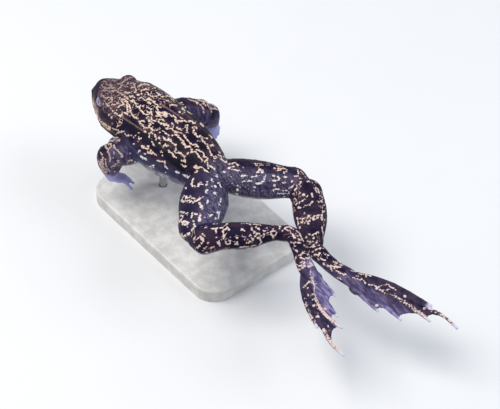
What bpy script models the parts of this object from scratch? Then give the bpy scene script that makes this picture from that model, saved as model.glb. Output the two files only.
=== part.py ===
"""Common frog (Rana temporaria) caught in mid-stroke, a life-size model on a small display stand.

The frog faces -Y and its left side is +X. The origin is the centre of the stand's underside.
All sizes below are in millimetres, in the frog's own frame: x to its left, y backwards from the
vent, z up from the level of its mid-side line. to_stand() moves that frame over the stand.
"""
import math

import bmesh
import bpy
import numpy as np
from mathutils import Matrix, Vector

MM = 0.001

# Driving dimensions
BODY_LIFT = 36.0            # mid-side level above the floor
BODY_BACK = 16.0            # vent behind the middle of the stand
GAP = 0.3                   # clearance where two nodes meet
FLESH_VOXEL = 0.85          # grid on which the limbs are blended into the body
FLESH_SMOOTHING = 4         # passes that take the grid's steps away
BODY_KEEP = 0.10            # share of faces kept on the trunk and limbs
HEAD_KEEP = 0.20            # share of faces kept on the head
NECK = ((1.1, -53.2, 0.5), (0.10, -1.0, 0.0), 16.2, 13.0)

BASE_LENGTH = 84.0
BASE_WIDTH = 52.0
BASE_HEIGHT = 6.0
BASE_CORNER = 10.0
BASE_CHAMFER = 0.8
ROD_RADIUS = 1.5
ROD_SOCKET = 2.2            # depth that a rod enters the belly
ROD_SEAT = 3.0              # depth that a rod enters the base
ROD_FRONT = (0.7, -38.0)    # under the chest
ROD_REAR = (-1.1, -9.0)     # under the pelvis

EYE_RADIUS = 3.3
EYE_SIDE = 6.9              # from the middle plane of the head
EYE_ALONG = 66.0            # in front of the vent
EYE_LEVEL = 3.9
EYE_GAZE = (0.86, -0.42, 0.26)
EYE_OPENING = 2.9           # radius of the opening between the lids
LID_REACH = 3.0             # half length of the cut that opens the lids
LID_THICKNESS = 0.5
MOUTH_LEVEL_SNOUT = 0.2
MOUTH_LEVEL_CORNER = -1.6
MOUTH_CORNER = 55.5         # in front of the vent
MOUTH_WIDTH = 0.35
MOUTH_DEPTH = 0.7
NOSTRIL_ALONG = 74.2
NOSTRIL_SIDE = 2.3
NOSTRIL_LEVEL = 4.6
NOSTRIL_RADIUS = 0.42
NOSTRIL_AXIS = (0.5, -0.45, 0.75)
TYMPANUM_ALONG = 58.6
TYMPANUM_LEVEL = 1.6
TYMPANUM_RADIUS = 2.2
TYMPANUM_DEPTH = 13.6       # of the drum, from the middle plane of the head
DRUM_CUT = 2.2              # length of the cut that bares the drum
DRUM_TILT = 0.12            # upward slope of the drum's axis
EAR_SIDE = 11.2             # middle of the swelling round the drum
FOLD_RADIUS = 1.0
WEB_THICKNESS = 0.6

# Trunk and head, one row per cross-section from the vent to the snout: distance in front of the
# vent, middle line to the left, half width, top, bottom, squareness of the upper and lower half.
TRUNK_KEYS = (
    (-4.5, -1.2, 0.3, 1.8, 1.0, 2.0, 2.0),
    (-3.6, -1.2, 1.6, 3.0, -0.5, 2.0, 2.0),
    (-1.5, -1.2, 3.6, 4.8, -3.0, 2.0, 2.0),
    (2.0, -1.1, 6.0, 6.8, -5.5, 2.2, 2.0),
    (7.0, -0.9, 8.6, 8.3, -7.5, 2.4, 2.1),
    (13.0, -0.7, 11.0, 9.3, -9.0, 2.5, 2.2),
    (20.0, -0.2, 13.3, 10.0, -10.2, 2.5, 2.2),
    (27.0, 0.3, 15.0, 10.7, -11.0, 2.5, 2.2),
    (33.0, 0.6, 15.6, 10.6, -11.3, 2.5, 2.2),
    (40.0, 0.65, 15.2, 10.4, -10.8, 2.5, 2.2),
    (46.0, 0.1, 14.75, 10.3, -9.8, 2.4, 2.2),
    (51.0, 0.2, 14.7, 10.1, -9.0, 2.4, 2.2),
    (55.0, 0.9, 14.9, 9.7, -8.8, 2.35, 2.3),
    (60.0, 2.0, 14.1, 9.1, -8.2, 2.45, 2.3),
    (64.5, 2.45, 12.4, 8.2, -7.5, 2.5, 2.3),
    (68.5, 2.9, 10.3, 7.1, -6.7, 2.3, 2.3),
    (72.0, 3.2, 8.0, 6.0, -5.8, 2.1, 2.3),
    (75.0, 3.6, 5.6, 4.7, -4.7, 2.1, 2.2),
    (76.8, 3.9, 3.1, 3.4, -3.3, 2.1, 2.1),
    (77.4, 4.0, 0.5, 1.2, -1.4, 2.0, 2.0),
)
SIDE_LEVEL = -1.0           # level of the widest line of the trunk

# Limbs: points down the middle of each, then half width and half height at each point.
LIMBS = {
    "thigh_left": (
        ((1.0, -6.5, 0.2), (5.5, -2.0, 0.5), (12.2, 4.7, 0.5), (19.0, 10.8, 0.4), (26.4, 16.5, -0.3),
         (28.7, 18.4, -0.4)),
        (6.0, 8.6, 10.0, 8.7, 5.3, 1.5), (5.0, 6.6, 7.0, 6.2, 4.7, 1.5)),
    "thigh_right": (
        ((-3.5, -6.0, 0.0), (-7.1, 0.0, 0.2), (-13.5, 8.0, 0.2), (-20.6, 15.5, 0.2),
         (-26.7, 21.0, 0.0), (-28.5, 22.9, 0.0)),
        (6.0, 8.2, 8.9, 7.4, 4.8, 1.5), (5.0, 6.4, 6.7, 5.9, 4.5, 1.5)),
    "shank_left": (
        ((29.8, 16.9, -0.3), (27.6, 18.0, -0.2), (18.3, 23.5, 0.2), (9.6, 30.2, 0.6), (0.6, 35.9, 0.7),
         (-4.9, 40.8, 0.8), (-6.7, 42.2, 0.8)),
        (1.5, 4.8, 5.8, 5.6, 3.3, 2.9, 1.5), (1.5, 4.5, 5.1, 4.9, 3.1, 2.7, 1.5)),
    "shank_right": (
        ((-26.9, 20.0, 0.0), (-26.1, 21.6, -0.2), (-22.7, 28.9, -1.8), (-18.3, 35.9, -3.6),
         (-13.1, 43.2, -5.2), (-10.2, 47.6, -6.0), (-9.2, 49.0, -6.0)),
        (1.5, 4.4, 6.7, 6.7, 4.7, 3.2, 1.5), (1.5, 4.4, 5.2, 4.9, 3.6, 2.9, 1.5)),
    "tarsus_left": (
        ((-6.0, 39.6, 0.8), (-4.6, 42.6, 0.4), (-2.6, 47.5, -1.8), (-1.4, 51.0, -3.4),
         (-0.6, 54.0, -4.7), (-0.1, 57.0, -5.4)),
        (1.5, 3.1, 3.0, 3.2, 3.5, 3.4), (1.5, 2.8, 2.4, 2.1, 1.9, 1.7)),
    "tarsus_right": (
        ((-10.6, 45.4, -6.0), (-10.3, 48.6, -6.0), (-10.0, 54.8, -6.3), (-10.4, 60.8, -6.7),
         (-11.5, 66.2, -7.0), (-12.2, 69.6, -7.1)),
        (1.5, 3.3, 3.4, 3.6, 4.0, 4.0), (1.5, 2.8, 2.4, 2.1, 1.9, 1.7)),
    "upper_arm_left": (
        ((6.5, -39.8, -2.5), (14.2, -40.9, -3.0), (17.8, -43.1, -3.6), (20.7, -45.8, -3.8),
         (21.8, -46.6, -4.2)),
        (4.0, 6.2, 6.1, 5.1, 1.8), (4.0, 5.8, 5.8, 5.1, 1.8)),
    "forearm_left": (
        ((20.5, -45.5, -1.3), (20.8, -45.7, -3.8), (21.5, -46.2, -9.4), (21.6, -46.3, -13.8),
         (21.4, -46.2, -17.5), (21.0, -45.8, -19.5)),
        (2.0, 4.9, 5.6, 4.2, 2.8, 2.6), (2.0, 4.8, 5.4, 3.8, 2.4, 2.0)),
    "upper_arm_right": (
        ((-7.0, -47.0, -1.8), (-14.2, -46.0, -1.6), (-19.8, -43.2, -2.8), (-24.6, -40.2, -5.2),
         (-26.0, -39.6, -5.8)),
        (4.0, 5.1, 5.0, 4.2, 1.8), (4.0, 5.1, 5.0, 4.1, 1.8)),
    "forearm_right": (
        ((-24.4, -39.9, -2.9), (-25.0, -40.2, -5.2), (-26.8, -41.1, -9.4), (-28.4, -41.8, -13.2),
         (-29.0, -41.9, -16.5), (-29.0, -41.6, -18.5)),
        (2.0, 4.6, 4.7, 3.7, 2.7, 2.6), (2.0, 4.5, 4.6, 3.4, 2.3, 2.0)),
}
UPRIGHT_LIMBS = ("forearm_left", "forearm_right")

# Hands: palm from the wrist to the knuckles, then the tip of each finger, thumb side first.
HANDS = {
    "left": {
        "palm": ((21.3, -46.1, -16.6), (19.3, -44.6, -18.8), (16.0, -43.2, -20.4)),
        "tips": ((13.9, -42.6, -22.8), (13.3, -41.0, -24.0), (15.6, -39.3, -24.8), (15.4, -42.7, -24.3)),
    },
    "right": {
        "palm": ((-29.0, -41.9, -15.6), (-28.7, -40.6, -17.4), (-28.6, -40.2, -19.4)),
        "tips": ((-27.6, -41.6, -22.8), (-28.9, -41.3, -24.6), (-30.7, -41.5, -25.0), (-31.8, -41.4, -23.5)),
    },
}
PALM_HALF_WIDTH = 3.1
PALM_HALF_HEIGHT = 1.5
FINGER_RADIUS = 0.85
FINGER_TIP_RADIUS = 0.62
FINGER_SPACING = 1.35
FINGER_ARCH = 0.9           # rise of a finger's middle above its ends
WRIST_HALF_WIDTH = 2.5
WRIST_HALF_HEIGHT = 2.1

# Feet: for each toe, from the innermost to the outermost, its root, bends and tip.
TOES = {
    "left": (
        ((-2.2, 55.4, -5.6), (-1.8, 63.0, -6.6), (-1.4, 71.9, -7.6)),
        ((-1.2, 56.0, -5.6), (2.5, 66.8, -6.5), (5.3, 81.1, -7.4)),
        ((0.0, 56.2, -5.5), (6.4, 67.0, -5.8), (9.2, 78.0, -6.0), (8.4, 87.7, -6.2)),
        ((1.0, 55.9, -5.3), (8.9, 69.2, -4.9), (14.6, 81.8, -4.5), (18.0, 92.6, -4.3), (18.2, 100.4, -4.2)),
        ((1.6, 55.2, -5.0), (8.9, 63.4, -4.0), (14.2, 73.4, -3.4), (17.8, 83.4, -3.0)),
    ),
    "right": (
        ((-9.6, 68.4, -7.2), (-9.7, 78.0, -8.1), (-10.1, 88.0, -9.0)),
        ((-10.6, 68.9, -7.1), (-12.6, 81.0, -8.0), (-14.0, 97.5, -8.8)),
        ((-12.0, 69.0, -7.0), (-16.0, 79.0, -7.2), (-20.1, 92.0, -7.2), (-21.3, 106.2, -7.0)),
        ((-13.2, 68.6, -6.8), (-18.9, 82.0, -6.1), (-23.9, 99.8, -5.5), (-26.2, 109.2, -5.3),
         (-25.9, 116.9, -5.2)),
        ((-14.2, 67.8, -6.6), (-19.6, 78.0, -5.4), (-23.4, 90.6, -4.8), (-25.6, 102.2, -4.4)),
    ),
}
TUBERCLES = {"left": (-2.9, 59.0, -6.6), "right": (-8.9, 73.6, -8.2)}
TOE_ROOT_RADIUS = 1.25
TOE_TIP_RADIUS = 0.62
TUBERCLE_SIZE = (1.0, 2.6, 0.9)
INSTEP_END = (2.2, 0.7)     # half width and half height where the instep ends between the toes
WEB_SAG = 0.07              # hollow of the free edge, as a share of the toe
WEB_DROP = 0.35             # how far a web hangs between its toes
# How far the web comes down the inner and the outer toe of each pair
WEB_REACH = ((0.90, 0.74), (0.92, 0.86), (0.94, 0.84), (0.76, 0.92))

# Joint cuts: middle, direction across the cut, half length level with the floor, half height.
JOINT_CUTS = (
    ((16.8, -43.2, -3.6), (1.0, 0.0, 0.0), 8.0, 8.0),
    ((-16.0, -45.3, -2.4), (1.0, 0.0, 0.0), 8.0, 8.0),
    ((21.6, -46.2, -5.6), (-0.57, 0.39, 0.72), 7.6, 7.6),
    ((-25.6, -40.0, -4.9), (0.57, -0.39, 0.72), 7.6, 7.6),
    ((7.7, 0.7, 0.5), (0.70, 0.71, 0.0), 10.6, 9.5),
    ((-9.5, 1.8, 0.2), (-0.63, 0.777, 0.0), 10.2, 9.5),
    ((22.6, 18.1, 0.0), (0.09, -0.996, 0.0), 10.2, 8.0),
    ((-24.6, 22.3, 0.0), (0.09, -0.996, 0.0), 9.6, 8.0),
    ((-4.9, 41.5, 0.8), (0.23, -0.97, 0.0), 5.0, 4.6),
    ((-10.3, 47.8, -6.0), (-0.25, -0.97, 0.0), 5.2, 4.6),
)

END_BLOCK = 12.0            # thickness of the block that trims a limb, hand or foot to its end cut
HOLE_LENGTH = 10.0          # length of the cuts for the rods

# End cuts, where a hand or foot takes over: middle of the cut and direction towards the fingers.
END_CUTS = {
    "hand_left": ((21.6, -46.4, -16.4), (-0.15, 0.12, -0.98)),
    "hand_right": ((-28.9, -41.9, -15.4), (-0.10, 0.05, -0.99)),
    "foot_left": ((-0.4, 54.6, -4.9), (0.16, 0.95, -0.26)),
    "foot_right": ((-11.7, 67.2, -7.0), (-0.20, 0.98, -0.05)),
}

# A point inside each flesh node, by which the cut pieces are told apart.
NODE_MIDDLES = {
    "torso": (0.3, -25.0, 0.0),
    "upper_arm_left": (19.0, -44.3, -3.6), "upper_arm_right": (-20.0, -43.0, -2.8),
    "forearm_left": (22.0, -46.4, -11.0), "forearm_right": (-27.5, -41.2, -10.0),
    "thigh_left": (16.0, 9.0, 0.4), "thigh_right": (-17.5, 11.0, 0.2),
    "shank_left": (11.0, 28.0, 0.5), "shank_right": (-20.0, 35.5, -3.4),
    "tarsus_left": (-2.6, 47.8, -2.0), "tarsus_right": (-10.2, 57.0, -6.5),
}

SKIN_COLOURS = {
    "back": (0.085, 0.055, 0.060), "limb": (0.120, 0.085, 0.095), "web": (0.26, 0.22, 0.33),
    "eye": (0.10, 0.07, 0.03), "base": (0.62, 0.60, 0.56), "rod": (0.45, 0.45, 0.46),
}


def smooth_curve(keys, values, at):
    """Cubic Hermite curve through values at keys, with slopes taken from the neighbouring keys."""
    keys = np.asarray(keys, float)
    values = np.asarray(values, float)
    at = np.clip(at, keys[0], keys[-1])
    slopes = np.gradient(values, keys, axis=0)
    left = np.clip(np.searchsorted(keys, at, side="right") - 1, 0, len(keys) - 2)
    span = keys[left + 1] - keys[left]
    u = (at - keys[left]) / span
    if values.ndim > 1:
        u = u[:, None]
        span = span[:, None]
    return ((2 * u**3 - 3 * u**2 + 1) * values[left] + (u**3 - 2 * u**2 + u) * span * slopes[left]
            + (3 * u**2 - 2 * u**3) * values[left + 1] + (u**3 - u**2) * span * slopes[left + 1])


def path_length(points):
    """Distance along a path at each of its points."""
    steps = np.linalg.norm(np.diff(np.asarray(points, float), axis=0), axis=1)
    return np.concatenate([[0.0], np.cumsum(steps)])


def to_stand(points):
    """Frog frame in millimetres to the model's frame in metres."""
    return (np.asarray(points, float) + (0.0, BODY_BACK, BODY_LIFT)) * MM


def trunk_yaw(along):
    """Turn of the cross-section, from the bend of the trunk's middle line."""
    keys = np.array(TRUNK_KEYS)
    step = 0.5
    ahead = smooth_curve(keys[:, 0], keys[:, 1], along + step)
    behind = smooth_curve(keys[:, 0], keys[:, 1], along - step)
    return np.arctan2(ahead - behind, 2 * step)


def trunk_point(along, angle, grow=0.0):
    """Surface of trunk and head: a superellipse in each cross-section, angle 0 at the left side."""
    along = np.asarray(along, float)
    keys = np.array(TRUNK_KEYS)
    middle, half, top, bottom, upper, lower = smooth_curve(keys[:, 0], keys[:, 1:], along).T
    yaw = trunk_yaw(along)
    cosine = np.cos(angle)
    sine = np.sin(angle)
    power = 2.0 / np.where(sine >= 0, upper, lower)
    height = np.where(sine >= 0, top - SIDE_LEVEL, SIDE_LEVEL - bottom)
    across = np.sign(cosine) * np.abs(cosine)**power * (half + grow)
    up = np.sign(sine) * np.abs(sine)**power * (height + grow)
    return np.stack([middle + across * np.cos(yaw), -along + across * np.sin(yaw), SIDE_LEVEL + up], -1)


def head_point(along, side, level):
    """A point of the head by distance in front of the vent, offset from its middle plane and level."""
    keys = np.array(TRUNK_KEYS)
    at = np.array([along], float)
    middle = smooth_curve(keys[:, 0], keys[:, 1], at)[0]
    yaw = trunk_yaw(at)[0]
    return np.array([middle + side * math.cos(yaw), -along + side * math.sin(yaw), level])


def closed_rings(rings):
    """Vertices and faces of a closed skin over rings of points, with a fan at each end."""
    rings = np.asarray(rings, float)
    count, sides = rings.shape[:2]
    points = np.concatenate([rings.reshape(-1, 3), [rings[0].mean(0)], [rings[-1].mean(0)]])
    row = np.arange(count - 1)[:, None] * sides
    here = np.arange(sides)
    beside = (here + 1) % sides
    quads = np.stack([row + here, row + beside, row + sides + beside, row + sides + here], -1)
    first = count * sides
    last_row = (count - 1) * sides
    faces = [tuple(face) for face in quads.reshape(-1, 4).tolist()]
    faces += [(first, b, a) for a, b in zip(here.tolist(), beside.tolist())]
    faces += [(first + 1, last_row + a, last_row + b) for a, b in zip(here.tolist(), beside.tolist())]
    return points, faces


def tube_rings(points, half_widths, half_heights, rings, sides, up=(0.0, 0.0, 1.0)):
    """Elliptical rings down a smooth path through the points."""
    points = np.asarray(points, float)
    keys = path_length(points)
    at = np.linspace(0.0, keys[-1], rings)
    centres = smooth_curve(keys, points, at)
    wide = smooth_curve(keys, half_widths, at)
    high = smooth_curve(keys, half_heights, at)
    forward = np.gradient(centres, axis=0)
    forward /= np.linalg.norm(forward, axis=1)[:, None]
    side = np.cross(forward, up)
    side /= np.linalg.norm(side, axis=1)[:, None]
    rise = np.cross(side, forward)
    angle = np.linspace(0.0, 2.0 * math.pi, sides, endpoint=False)
    return (centres[:, None] + side[:, None] * (wide[:, None] * np.cos(angle))[..., None]
            + rise[:, None] * (high[:, None] * np.sin(angle))[..., None])


def taper_rings(points, root_radius, tip_radius, rings, sides):
    """Round rings down a smooth path, tapering to a ball-shaped tip."""
    points = np.asarray(points, float)
    keys = path_length(points)
    cap = np.radians([0.0, 35.0, 68.0])
    at = np.concatenate([np.linspace(0.0, keys[-1] - tip_radius, rings)[:-1],
                         keys[-1] - tip_radius * (1.0 - np.sin(cap))])
    radii = root_radius + (tip_radius - root_radius) * np.clip(at / keys[-1], 0.0, 1.0)**0.7
    radii[-3:] = tip_radius * np.cos(cap)
    centres = smooth_curve(keys, points, at)
    forward = np.gradient(centres, at, axis=0)
    forward /= np.linalg.norm(forward, axis=1)[:, None]
    side = np.cross(forward, (0.0, 0.0, 1.0))
    side /= np.linalg.norm(side, axis=1)[:, None]
    rise = np.cross(side, forward)
    angle = np.linspace(0.0, 2.0 * math.pi, sides, endpoint=False)
    return (centres[:, None] + side[:, None] * (radii[:, None] * np.cos(angle))[..., None]
            + rise[:, None] * (radii[:, None] * np.sin(angle))[..., None])


def new_object(name, points, faces):
    """An object in the scene from vertices in the frog's frame, with its faces turned outwards."""
    mesh = bpy.data.meshes.new(name)
    mesh.from_pydata(to_stand(points).tolist(), [], faces)
    work = bmesh.new()
    work.from_mesh(mesh)
    bmesh.ops.recalc_face_normals(work, faces=work.faces)
    work.to_mesh(mesh)
    work.free()
    made = bpy.data.objects.new(name, mesh)
    bpy.context.scene.collection.objects.link(made)
    return made


def ball(name, centre, half_sizes, segments=20, rings=12):
    """Ellipsoid at a point of the frog's frame."""
    mesh = bpy.data.meshes.new(name)
    work = bmesh.new()
    bmesh.ops.create_uvsphere(work, u_segments=segments, v_segments=rings, radius=1.0)
    size = Matrix.Diagonal([*(np.array(half_sizes) * MM), 1.0])
    place = Matrix.Translation(Vector(to_stand(centre))) @ size
    bmesh.ops.transform(work, matrix=place, verts=work.verts)
    work.to_mesh(mesh)
    work.free()
    made = bpy.data.objects.new(name, mesh)
    bpy.context.scene.collection.objects.link(made)
    return made


def rod(name, centre, direction, radius, length, segments=20):
    """Closed cylinder about a centre, along a direction."""
    mesh = bpy.data.meshes.new(name)
    work = bmesh.new()
    bmesh.ops.create_cone(work, cap_ends=True, segments=segments, radius1=radius * MM, radius2=radius * MM,
                          depth=length * MM)
    turn = Vector((0, 0, 1)).rotation_difference(Vector(direction).normalized()).to_matrix().to_4x4()
    bmesh.ops.transform(work, matrix=Matrix.Translation(Vector(to_stand(centre))) @ turn, verts=work.verts)
    work.to_mesh(mesh)
    work.free()
    made = bpy.data.objects.new(name, mesh)
    bpy.context.scene.collection.objects.link(made)
    return made


def plate(name, centre, normal, thickness, half_length, half_height, lead=0.0):
    """Flat plate across a direction, its length level with the floor; lead moves it along the normal."""
    across = Vector(normal).normalized()
    level = across.cross(Vector((0, 0, 1))).normalized()
    rise = level.cross(across).normalized()
    turn = Matrix((level, rise, across)).transposed()
    mesh = bpy.data.meshes.new(name)
    work = bmesh.new()
    bmesh.ops.create_cube(work, size=2.0)
    scale = Matrix.Diagonal((half_length * MM, half_height * MM, thickness * MM / 2, 1.0))
    middle = Vector(to_stand(centre)) + across * lead * MM
    bmesh.ops.transform(work, matrix=Matrix.Translation(middle) @ turn.to_4x4() @ scale, verts=work.verts)
    bmesh.ops.recalc_face_normals(work, faces=work.faces)
    work.to_mesh(mesh)
    work.free()
    made = bpy.data.objects.new(name, mesh)
    bpy.context.scene.collection.objects.link(made)
    return made


def discard(objects):
    """Remove helper objects and their meshes."""
    for spare in objects:
        mesh = spare.data
        bpy.data.objects.remove(spare)
        bpy.data.meshes.remove(mesh)


def bake(target):
    """Replace an object's mesh by its evaluated mesh and drop its modifiers."""
    graph = bpy.context.evaluated_depsgraph_get()
    graph.update()
    done = bpy.data.meshes.new_from_object(target.evaluated_get(graph))
    old = target.data
    target.modifiers.clear()
    target.data = done
    bpy.data.meshes.remove(old)


def combine(target, operation, others, solver="EXACT"):
    """Boolean of one object with several others, which are removed."""
    group = bpy.data.collections.new("group")
    for other in others:
        group.objects.link(other)
    step = target.modifiers.new("combine", "BOOLEAN")
    step.operation = operation
    step.operand_type = "COLLECTION"
    step.collection = group
    step.solver = solver
    bake(target)
    bpy.data.collections.remove(group)
    discard(others)


def cut(target, others):
    """Take each of several objects away from one, then remove them."""
    for other in others:
        step = target.modifiers.new("cut", "BOOLEAN")
        step.operation = "DIFFERENCE"
        step.object = other
        step.solver = "EXACT"
        bake(target)
    discard(others)


def merge_meshes(name, objects):
    """One object that holds the meshes of several, still overlapping."""
    work = bmesh.new()
    for piece in objects:
        work.from_mesh(piece.data)
    mesh = bpy.data.meshes.new(name)
    work.to_mesh(mesh)
    work.free()
    discard(objects)
    made = bpy.data.objects.new(name, mesh)
    bpy.context.scene.collection.objects.link(made)
    return made


def islands(mesh):
    """The separate closed surfaces of a mesh, each as a list of its vertex indices."""
    work = bmesh.new()
    work.from_mesh(mesh)
    work.verts.ensure_lookup_table()
    left = set(range(len(work.verts)))
    found = []
    while left:
        front = [left.pop()]
        group = list(front)
        while front:
            near = [edge.other_vert(work.verts[index]).index
                    for index in front for edge in work.verts[index].link_edges]
            front = [index for index in dict.fromkeys(near) if index in left]
            left.difference_update(front)
            group += front
        found.append(group)
    work.free()
    return found


def keep_island(source, name, group):
    """A new object with only one of the closed surfaces of another."""
    keep = set(group)
    work = bmesh.new()
    work.from_mesh(source.data)
    bmesh.ops.delete(work, geom=[v for v in work.verts if v.index not in keep], context="VERTS")
    mesh = bpy.data.meshes.new(name)
    work.to_mesh(mesh)
    work.free()
    made = bpy.data.objects.new(name, mesh)
    bpy.context.scene.collection.objects.link(made)
    return made


def keep_largest(target):
    """Keep only the closed surface with the most vertices."""
    groups = islands(target.data)
    if len(groups) > 1:
        largest = keep_island(target, target.name, max(groups, key=len))
        old = target.data
        target.data = largest.data
        bpy.data.objects.remove(largest)
        bpy.data.meshes.remove(old)


def flesh_tubes():
    """The trunk with the head, and every limb down to the wrists and heels, as overlapping skins."""
    along = np.linspace(TRUNK_KEYS[0][0], TRUNK_KEYS[-1][0], 72)
    angle = np.linspace(0.0, 2.0 * math.pi, 48, endpoint=False)
    grid = trunk_point(np.repeat(along, len(angle)), np.tile(angle, len(along)))
    skins = [new_object("trunk", *closed_rings(grid.reshape(len(along), len(angle), 3)))]
    for name, (points, wide, high) in LIMBS.items():
        up = (1.0, 0.0, 0.0) if name in UPRIGHT_LIMBS else (0.0, 0.0, 1.0)
        skins.append(new_object(name, *closed_rings(tube_rings(points, wide, high, 30, 24, up))))
    return skins


def flesh_forms():
    """Forms that rise from the skin: eyelids, folds of the back, lips and the ring of each ear."""
    forms = []
    for side in (1, -1):
        eye = head_point(EYE_ALONG, side * EYE_SIDE, EYE_LEVEL)
        lid = EYE_RADIUS + LID_THICKNESS
        forms.append(ball("lid", eye, (lid, lid + 0.5, lid)))
        forms.append(fold_tube(side))
        ear = head_point(TYMPANUM_ALONG, side * EAR_SIDE, TYMPANUM_LEVEL)
        ring = TYMPANUM_RADIUS + 0.7
        forms.append(ball("ear", ear, (2.6, ring, ring)))
    lip = trunk_point(*lip_path(0.55), grow=-0.35)
    forms.append(new_object("lip", *closed_rings(tube_rings(lip, *lip_sizes(len(lip)), 44, 8))))
    return forms


def fold_tube(side):
    """The ridge along one side of the back, from behind the eye to the hip."""
    along = np.linspace(8.0, 58.0, 12)
    width = smooth_curve((8.0, 30.0, 58.0), (5.6, 8.6, 7.4), along)
    keys = np.array(TRUNK_KEYS)
    half = smooth_curve(keys[:, 0], keys[:, 2], along)
    power = smooth_curve(keys[:, 0], keys[:, 5], along)
    angle = np.arccos((width / half)**(power / 2.0))
    if side < 0:
        angle = math.pi - angle
    line = trunk_point(along, angle, grow=-0.25)
    swell = FOLD_RADIUS * np.sin(np.linspace(0.25, math.pi - 0.25, len(line)))**0.5
    return new_object("fold", *closed_rings(tube_rings(line, swell, swell, 40, 8)))


def mouth_level(along):
    """Level of the line of the mouth, highest at the snout."""
    share = (along - MOUTH_CORNER) / (TRUNK_KEYS[-1][0] - MOUTH_CORNER)
    return MOUTH_LEVEL_CORNER + (MOUTH_LEVEL_SNOUT - MOUTH_LEVEL_CORNER) * share


def lip_path(rise):
    """Distance and angle, corner to corner round the snout, of a line above the mouth by rise."""
    turn = np.linspace(-1.0, 1.0, 31)
    reach = TRUNK_KEYS[-1][0] - 0.4 - MOUTH_CORNER
    along = MOUTH_CORNER + reach * np.cos(np.abs(turn) * math.pi / 2.0)
    keys = np.array(TRUNK_KEYS)
    top, bottom = smooth_curve(keys[:, 0], keys[:, 3:5], along).T
    level = mouth_level(along) + rise - SIDE_LEVEL
    height = np.where(level >= 0, top - SIDE_LEVEL, SIDE_LEVEL - bottom)
    angle = np.arcsin(np.clip(level / height, -0.9, 0.9))
    return along, np.where(turn < 0, angle, math.pi - angle)


def lip_sizes(count):
    """Radius of the lip at each point of its path, thinner at the corners."""
    swell = 0.35 + 0.5 * np.sin(np.linspace(0.0, math.pi, count))**0.4
    return swell, swell


def mouth_blade():
    """Thin ribbon round the snout that cuts the line of the mouth into the head."""
    along, angle = lip_path(0.0)
    line = trunk_point(along, angle)
    centre = np.stack([smooth_curve([k[0] for k in TRUNK_KEYS], [k[1] for k in TRUNK_KEYS], along),
                       -along, line[:, 2]], -1)
    centre[:, 1] += 6.0
    outward = line - centre
    outward[:, 2] = 0.0
    outward /= np.linalg.norm(outward, axis=1)[:, None]
    half = np.array([0.0, 0.0, MOUTH_WIDTH / 2.0])
    rings = np.stack([line - outward * MOUTH_DEPTH - half, line + outward * 1.6 - half,
                      line + outward * 1.6 + half, line - outward * MOUTH_DEPTH + half], 1)
    return new_object("mouth", *closed_rings(rings))


def thin_out(target, keep):
    """Leave a share of the faces, where the surface is flattest first."""
    step = target.modifiers.new("thin", "DECIMATE")
    step.ratio = keep
    step.use_collapse_triangulate = True
    bake(target)


def build_flesh():
    """The frog down to its wrists and heels as one blended skin, parted at the neck."""
    flesh = merge_meshes("flesh", flesh_tubes() + flesh_forms())
    blend = flesh.modifiers.new("blend", "REMESH")
    blend.mode = "VOXEL"
    blend.voxel_size = FLESH_VOXEL * MM
    ease = flesh.modifiers.new("ease", "SMOOTH")
    ease.factor = 0.5
    ease.iterations = FLESH_SMOOTHING
    bake(flesh)
    keep_largest(flesh)
    centre, normal, half_length, half_height = NECK
    cut(flesh, [plate("neck", centre, normal, GAP / 3.0, half_length, half_height)])
    body_part, head_part = sorted(islands(flesh.data), key=len)[-1:-3:-1]
    body = keep_island(flesh, "torso", body_part)
    head = keep_island(flesh, "head", head_part)
    discard([flesh])
    thin_out(body, BODY_KEEP)
    thin_out(head, HEAD_KEEP)
    for part_of_flesh in (body, head):
        cut(part_of_flesh, [plate("neck", centre, normal, GAP, half_length, half_height)])
        keep_largest(part_of_flesh)
    return body, head


def carve_head(head):
    """Sockets for the eyes, the opening between the lids, nostrils, ear discs and the mouth."""
    cutters = []
    for side in (1, -1):
        eye = head_point(EYE_ALONG, side * EYE_SIDE, EYE_LEVEL)
        gaze = eye_gaze(side)
        socket = EYE_RADIUS + GAP
        cutters.append(ball("socket", eye, (socket, socket, socket), 18, 12))
        reach = EYE_RADIUS + LID_THICKNESS
        cutters.append(rod("opening", eye + gaze * reach, gaze, EYE_OPENING, 2.0 * LID_REACH, 18))
        nostril = head_point(NOSTRIL_ALONG, side * NOSTRIL_SIDE, NOSTRIL_LEVEL)
        across, ahead, upward = NOSTRIL_AXIS
        cutters.append(rod("nostril", nostril, (side * across, ahead, upward), NOSTRIL_RADIUS, 3.0, 8))
        ear = head_point(TYMPANUM_ALONG, side * (TYMPANUM_DEPTH + DRUM_CUT / 2.0), TYMPANUM_LEVEL)
        cutters.append(rod("drum", ear, (side, 0.0, DRUM_TILT), TYMPANUM_RADIUS, DRUM_CUT, 14))
    cutters.append(mouth_blade())
    cut(head, cutters)
    keep_largest(head)


def eye_gaze(side):
    """Direction in which an eye looks, turned with the head."""
    yaw = trunk_yaw(np.array([EYE_ALONG]))[0]
    x, y, z = EYE_GAZE
    gaze = np.array([side * x * math.cos(yaw) - y * math.sin(yaw),
                     side * x * math.sin(yaw) + y * math.cos(yaw), z])
    return gaze / np.linalg.norm(gaze)


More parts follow.
